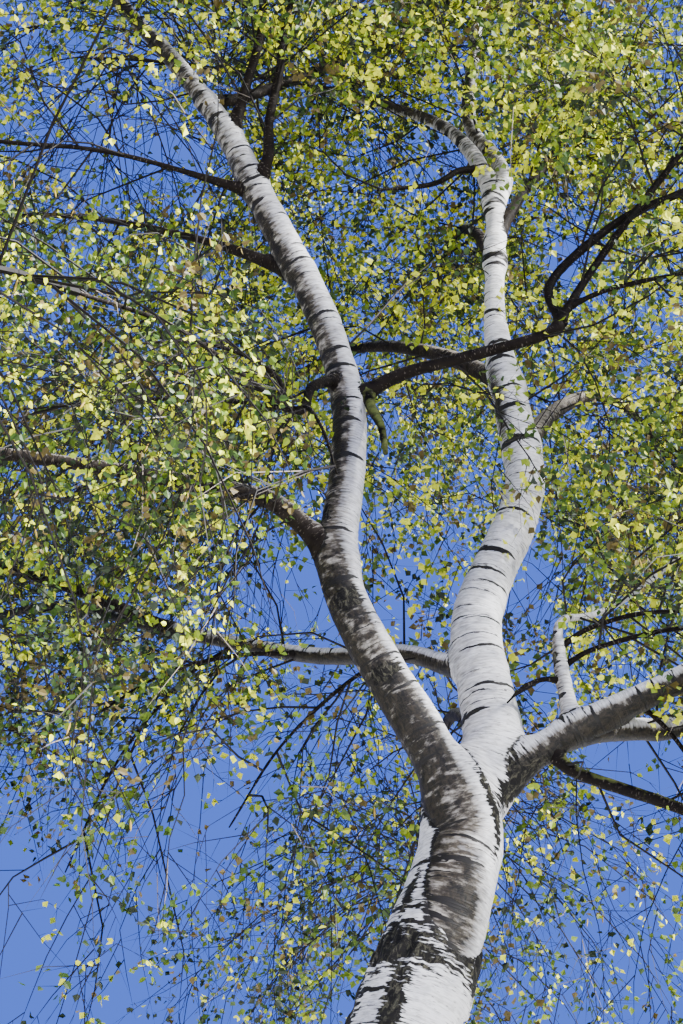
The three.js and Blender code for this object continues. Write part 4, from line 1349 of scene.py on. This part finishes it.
def leaf_shapes(leaves, half_outline):
    """Leaves folded along the midrib. Each has a base, a direction, a width direction and a length."""
    bases, along, across, lengths = leaves
    normal = np.cross(across, along)
    half = np.array(half_outline)
    left = half * (-1, 1, 1)
    outline = np.vstack([[0, 0, 0], left, [0, 1, LEAF_CURL], half[::-1]])
    vertices = (outline[None, :, :1] * across[:, None] + outline[None, :, 1:2] * along[:, None]
                + outline[None, :, 2:] * normal[:, None])
    vertices = bases[:, None] + vertices * lengths[:, None, None]
    tip = len(half) + 1
    left_side = [(0, k + 1, k) for k in range(1, tip)]
    right_side = [(0, k + 1, k) for k in range(tip, len(outline) - 1)]
    faces = np.array(left_side + right_side)
    all_faces = faces[None] + (np.arange(len(bases)) * len(outline))[:, None, None]
    return vertices.reshape(-1, 3), all_faces.reshape(-1, 3)


def grow_leaves(shoots, random):
    """Leaves in tufts on the shoots, with the number of each one's shoot."""
    bases, headings, owners = [], [], []
    for share in LEAF_PLACES:
        base, heading = on_lines(shoots.lines, np.full(len(shoots.lines), share))
        chosen = random.uniform(0, 1, len(base)) < LEAF_CHANCE
        bases.append(base[chosen])
        headings.append(heading[chosen])
        owners.append(np.flatnonzero(chosen))
    bases, headings, owners = np.concatenate(bases), np.concatenate(headings), np.concatenate(owners)
    count = len(bases)
    along = unit(LEAF_FOLLOWS * headings + unit(random.normal(size=(count, 3))) - LEAF_DROOPS * UP)
    across = unit(np.cross(along, unit(random.normal(size=(count, 3)))))
    _, _, depth = in_picture(bases)
    near = (depth > 0) & (depth < NEAR_DEPTH)
    lengths = np.where(near, random.uniform(*NEAR_LEAF_LENGTH, count), random.uniform(*LEAF_LENGTH, count))
    lengths = np.where(in_frame(bases), lengths, random.uniform(*OUTER_LEAF_LENGTH, count))
    return (bases + along * LEAF_STALK, along, across, lengths), owners


def crown_twigs(limbs, masses, random):
    """The thickest twigs: the stem that runs on from each limb, its side twigs, and those on the boughs."""
    hearts = np.array([mass.heart for mass in masses])
    groups = []
    length = np.array([STEM_TWIG["length"]])
    for number, mass in enumerate(masses):
        stem = drooping(mass.tip[None], mass.leaving[None], length, STEM_TWIG["joints"], STEM_TWIG["weep"])
        lines = side_twigs(mass, stem[0])
        own = np.full(len(lines), number)
        inside = [in_space(lines[:, joint], own, hearts) for joint in range(1, SIDE_TWIG["joints"] + 1)]
        lines = np.concatenate([stem, lines[np.all(inside, axis=0)]])
        diameters = np.full(len(lines), SIDE_TWIG_DIAMETER)
        diameters[0] = mass.limb.diameters[-1]
        groups.append(Twigs(lines, np.full(len(lines), number), np.arange(len(lines)), diameters))
    for limb in limbs.values():
        if limb.name not in STOUT_LIMBS:
            stem = limb.name in STEMS
            twigs = bough_twigs(limb, STEM_SIDE_TWIG if stem else BOUGH_TWIG, random)
            forward = twigs.lines[:, 0, 1] - twigs.lines[:, 1, 1]
            groups.append(twigs.keep(forward < (STEM_TWIG_FORWARD if stem else np.inf)))
    return allowed(joined(groups), hearts, limbs, random), hearts


def leaf_tints(sprays, random):
    """The number of each spray's tint: pale ones, painted sunlight, mostly on the sunlit outside of the
    crown.
    """
    middle = (np.array(cad_box[0]) + np.array(cad_box[1])) / 2
    outward = (sprays.lines[:, -1] - middle) / (np.array(cad_box[1]) - middle)
    sunny = np.clip(SUNNY_MIDDLE + outward @ LIT_SIDE + random.normal(0, SUNNY_SPREAD, len(outward)), 0, 1)
    clumped = SUNNY_CLUMPING * grain(sprays.lines[:, -1], CLUMP_SIZE, CLUMP_SEED + 1)
    sunny = np.clip(sunny + clumped, 0, 1)[:, None]
    weights = np.array(TINT_WEIGHTS_SHADY) * (1 - sunny) + np.array(TINT_WEIGHTS_SUNNY) * sunny
    draw = random.uniform(0, 1, (len(weights), 1))
    return (np.cumsum(weights, axis=1) < draw).sum(axis=1).clip(0, len(LEAF_TINTS) - 1)


def plain_finish(name, hex_colour, roughness, specular):
    """One plain colour, for pieces whose many small faces make the pattern."""
    material, _, surface = new_material(name, roughness, specular)
    surface.inputs["Base Color"].default_value = linear(hex_colour)
    return material


def twig_pieces(name, twigs, sides, material, nodes):
    """Twigs as one mesh, or as several where that would be too many triangles."""
    per_twig = 2 * sides * (twigs.lines.shape[1] - 2) + sides
    parts = math.ceil(len(twigs.lines) * per_twig / PIECE_TRIANGLES)
    for number, chosen in enumerate(np.array_split(np.arange(len(twigs.lines)), parts)):
        mesh = twig_mesh(f"{name}_{number + 1}", twigs.keep(chosen), sides)
        settle(show(mesh.name, mesh), material, "bough_bark", *nodes)


def leaf_pieces(leaves, tints, nodes):
    """The leaves of each tint, in as many pieces as they need."""
    _, _, depth = in_picture(leaves[0])
    near = (depth > 0) & (depth < NEAR_DEPTH)
    for number, (tint, hex_colour) in enumerate(LEAF_TINTS.items()):
        # Thin young leaf, a little waxy, and opaque: its pale tints paint the light that shines through it
        material = plain_finish(f"young_leaf_{tint}", hex_colour, roughness=0.5, specular=0.35)
        for place, chosen, outline in (("near", near, NEAR_LEAF), ("far", ~near, FAR_LEAF)):
            these = np.flatnonzero(chosen & (tints == number))
            parts = math.ceil(len(these) * 2 * len(outline) / PIECE_TRIANGLES)
            for part, rows in enumerate(np.array_split(these, max(parts, 1))):
                name = f"{tint}_leaves_{place}_{part + 1}"
                shapes = leaf_shapes([values[rows] for values in leaves], outline)
                mesh = mesh_from(name, *shapes, smooth=False)
                settle(show(name, mesh), material, "young_leaf", *nodes)


def catkin_tree(material):
    """Geometry nodes that hang a catkin on each point of a mesh: thickest in the middle, five-sided."""
    tree = bpy.data.node_groups.new("hanging_catkins", "GeometryNodeTree")
    for name, kind in (("Geometry", "Geometry"), ("Length", "Float"), ("Diameter", "Float"), ("Seed", "Int")):
        tree.interface.new_socket(name, in_out="INPUT", socket_type=f"NodeSocket{kind}")
    tree.interface.new_socket("Geometry", in_out="OUTPUT", socket_type="NodeSocketGeometry")
    make = functools.partial(add_node, tree)
    given = make("NodeGroupInput").outputs
    hang = make("ShaderNodeMath", {0: given["Length"], 1: -1.0}, operation="MULTIPLY").outputs[0]
    end = make("ShaderNodeCombineXYZ", {"Z": hang}).outputs[0]
    line = make("GeometryNodeCurvePrimitiveLine", {"End": end}).outputs[0]
    line = make("GeometryNodeResampleCurve", {"Curve": line, "Count": 5}).outputs[0]
    share = make("GeometryNodeSplineParameter").outputs["Factor"]
    arch = make("ShaderNodeMath", {0: share, 1: 2.7, 2: 0.25}, operation="MULTIPLY_ADD").outputs[0]
    arch = make("ShaderNodeMath", {0: arch}, operation="SINE").outputs[0]
    half = make("ShaderNodeMath", {0: given["Diameter"], 1: 0.5}, operation="MULTIPLY").outputs[0]
    radius = make("ShaderNodeMath", {0: arch, 1: half}, operation="MULTIPLY").outputs[0]
    section = make("GeometryNodeCurvePrimitiveCircle", {"Resolution": 5, "Radius": 1.0}).outputs[0]
    swept = make("GeometryNodeCurveToMesh", {"Curve": line, "Profile Curve": section, "Scale": radius,
                                             "Fill Caps": True}).outputs[0]
    tilt = make("FunctionNodeRandomValue", {"Min": (-0.35, -0.35, 0), "Max": (0.35, 0.35, 6.28),
                                            "Seed": given["Seed"]}, data_type="FLOAT_VECTOR").outputs[0]
    size = make("FunctionNodeRandomValue", {2: 0.7, 3: 1.25, "Seed": given["Seed"]},
                data_type="FLOAT").outputs[1]
    placed = make("GeometryNodeInstanceOnPoints", {"Points": given["Geometry"], "Instance": swept,
                                                   "Rotation": tilt, "Scale": size}).outputs[0]
    solid = make("GeometryNodeRealizeInstances", {"Geometry": placed}).outputs[0]
    dressed = make("GeometryNodeSetMaterial", {"Geometry": solid, "Material": material}).outputs[0]
    make("NodeGroupOutput", {"Geometry": dressed})
    return tree


def grown(name, base, tree, values):
    """The plain mesh that a node tree makes of a base mesh."""
    carrier = show(name, base)
    modifier = carrier.modifiers.new(name, "NODES")
    modifier.node_group = tree
    for item in tree.interface.items_tree:
        if item.in_out == "INPUT" and item.name in values:
            modifier[item.identifier] = values[item.name]
    shaped = carrier.evaluated_get(bpy.context.evaluated_depsgraph_get())
    mesh = bpy.data.meshes.new_from_object(shaped)
    carrier.modifiers.remove(modifier)
    carrier.data = mesh
    return carrier


def hang_catkins(shoots, nodes, random):
    """Ripe male catkins: limp yellow-brown tassels that hang from the tips of some shoots."""
    material = plain_finish("ripe_catkin", CATKIN_TONE, roughness=0.85, specular=0.2)
    chosen = random.uniform(0, 1, len(shoots.lines)) < CATKIN_CHANCE
    tips = shoots.lines[chosen, -1]
    base = bpy.data.meshes.new("catkin_tips")
    base.from_pydata(tips.tolist(), [], [])
    values = {"Length": CATKIN_LENGTH, "Diameter": CATKIN_DIAMETER, "Seed": CATKIN_SEED}
    catkins = grown("catkins", base, catkin_tree(material), values)
    settle(catkins, material, "bough_bark", *nodes)


def chosen_sprays(tips, random):
    """Whether each spray is kept, by how close it hangs and how crowded that part of the crown is."""
    _, _, depth = in_picture(tips)
    close = np.where(depth < THINNED_DEPTH, THINNED_SHARE_KEPT, 1)
    crowded = seen_in(tips, CROWDED, random)
    kept = np.where(crowded, np.maximum(close, CROWDED_SHARE_KEPT), np.minimum(close, UNCROWDED_SHARE_KEPT))
    kept = np.where(in_frame(tips), kept, OUTER_SHARE_KEPT)
    clumped = 1 + CLUMPING * grain(tips, CLUMP_SIZE, CLUMP_SEED)
    return random.uniform(0, 1, len(tips)) < kept * clumped


def grow_crown(limbs):
    """Twigs of five orders, each on the one before, then the leaves and the catkins."""
    random = np.random.default_rng(CROWN_SEED)
    bearing = [row[0] for row in SHOWN_LIMBS + HIDDEN_LIMBS if row[0] not in BARE_LIMBS]
    masses = [make_mass(limbs[name], number + 1) for number, name in enumerate(bearing)]
    nodes = [f"{name}_foliage" for name in bearing]
    stout, hearts = crown_twigs(limbs, masses, random)
    hanging = allowed(finer(stout, HANGING_TWIG, random), hearts, limbs, random)
    fine = allowed(finer(joined([stout, hanging]), FINE_TWIG, random), hearts, limbs, random)
    fine = fine.keep(chosen_sprays(fine.lines[:, -1], random))
    shoots = allowed(finer(fine, SHOOT, random), hearts, limbs, random)
    # Dark purplish-brown twigs, smooth and slightly glossy, and on some a pale grey that paints a sunlit
    # highlight
    dark = plain_finish("birch_twig", "#120D0A", roughness=0.6, specular=0.2)
    pale = plain_finish("bleached_twig", "#857A70", roughness=0.6, specular=0.3)
    twig_pieces("side_twigs", stout, STOUT_TWIG_SIDES, dark, nodes)
    twig_pieces("hanging_twigs", hanging, TWIG_SIDES, dark, nodes)
    highlighted = random.uniform(0, 1, len(fine.lines)) < PALE_TWIG_SHARE
    twig_pieces("fine_twigs", fine.keep(~highlighted), TWIG_SIDES, dark, nodes)
    twig_pieces("pale_twigs", fine.keep(highlighted), TWIG_SIDES, pale, nodes)
    twig_pieces("leaf_shoots", shoots, TWIG_SIDES, dark, nodes)
    leaves, owners = grow_leaves(shoots, random)
    tints = leaf_tints(fine, random)[shoots.parents[owners]]
    clear = in_crown(leaves[0]) & ~in_sight(leaves[0], limbs)
    clear &= ~thinned(leaves[0], LEAFLESS, LEAFLESS_SHARE_KEPT, random)
    leaf_pieces([part[clear] for part in leaves], tints[clear], nodes)
    hang_catkins(shoots, nodes, random)


place_camera()
place_light()
place_floor()

limbs = make_limbs(SHOWN_LIMBS, {})
limbs = make_limbs([hidden_limb(*row) for row in HIDDEN_LIMBS], limbs)
limbs = make_limbs(THIN_BRANCHES, limbs)

papery = paper_bark()
for name in PAPER_LIMBS:
    bark_piece(f"{name}_bark", [limbs[name]], limbs, PAPER_SPACING, papery, "paper_bark")
brown = bough_bark()
for stem in STEMS:
    others = [limb for limb in limbs.values() if limb.name not in PAPER_LIMBS]
    boughs = [limb for limb in others if stem_under(limb, limbs) == stem]
    bark_piece(f"{stem}_boughs_bark", boughs, limbs, BOUGH_SPACING, brown, "bough_bark")

grow_crown(limbs)
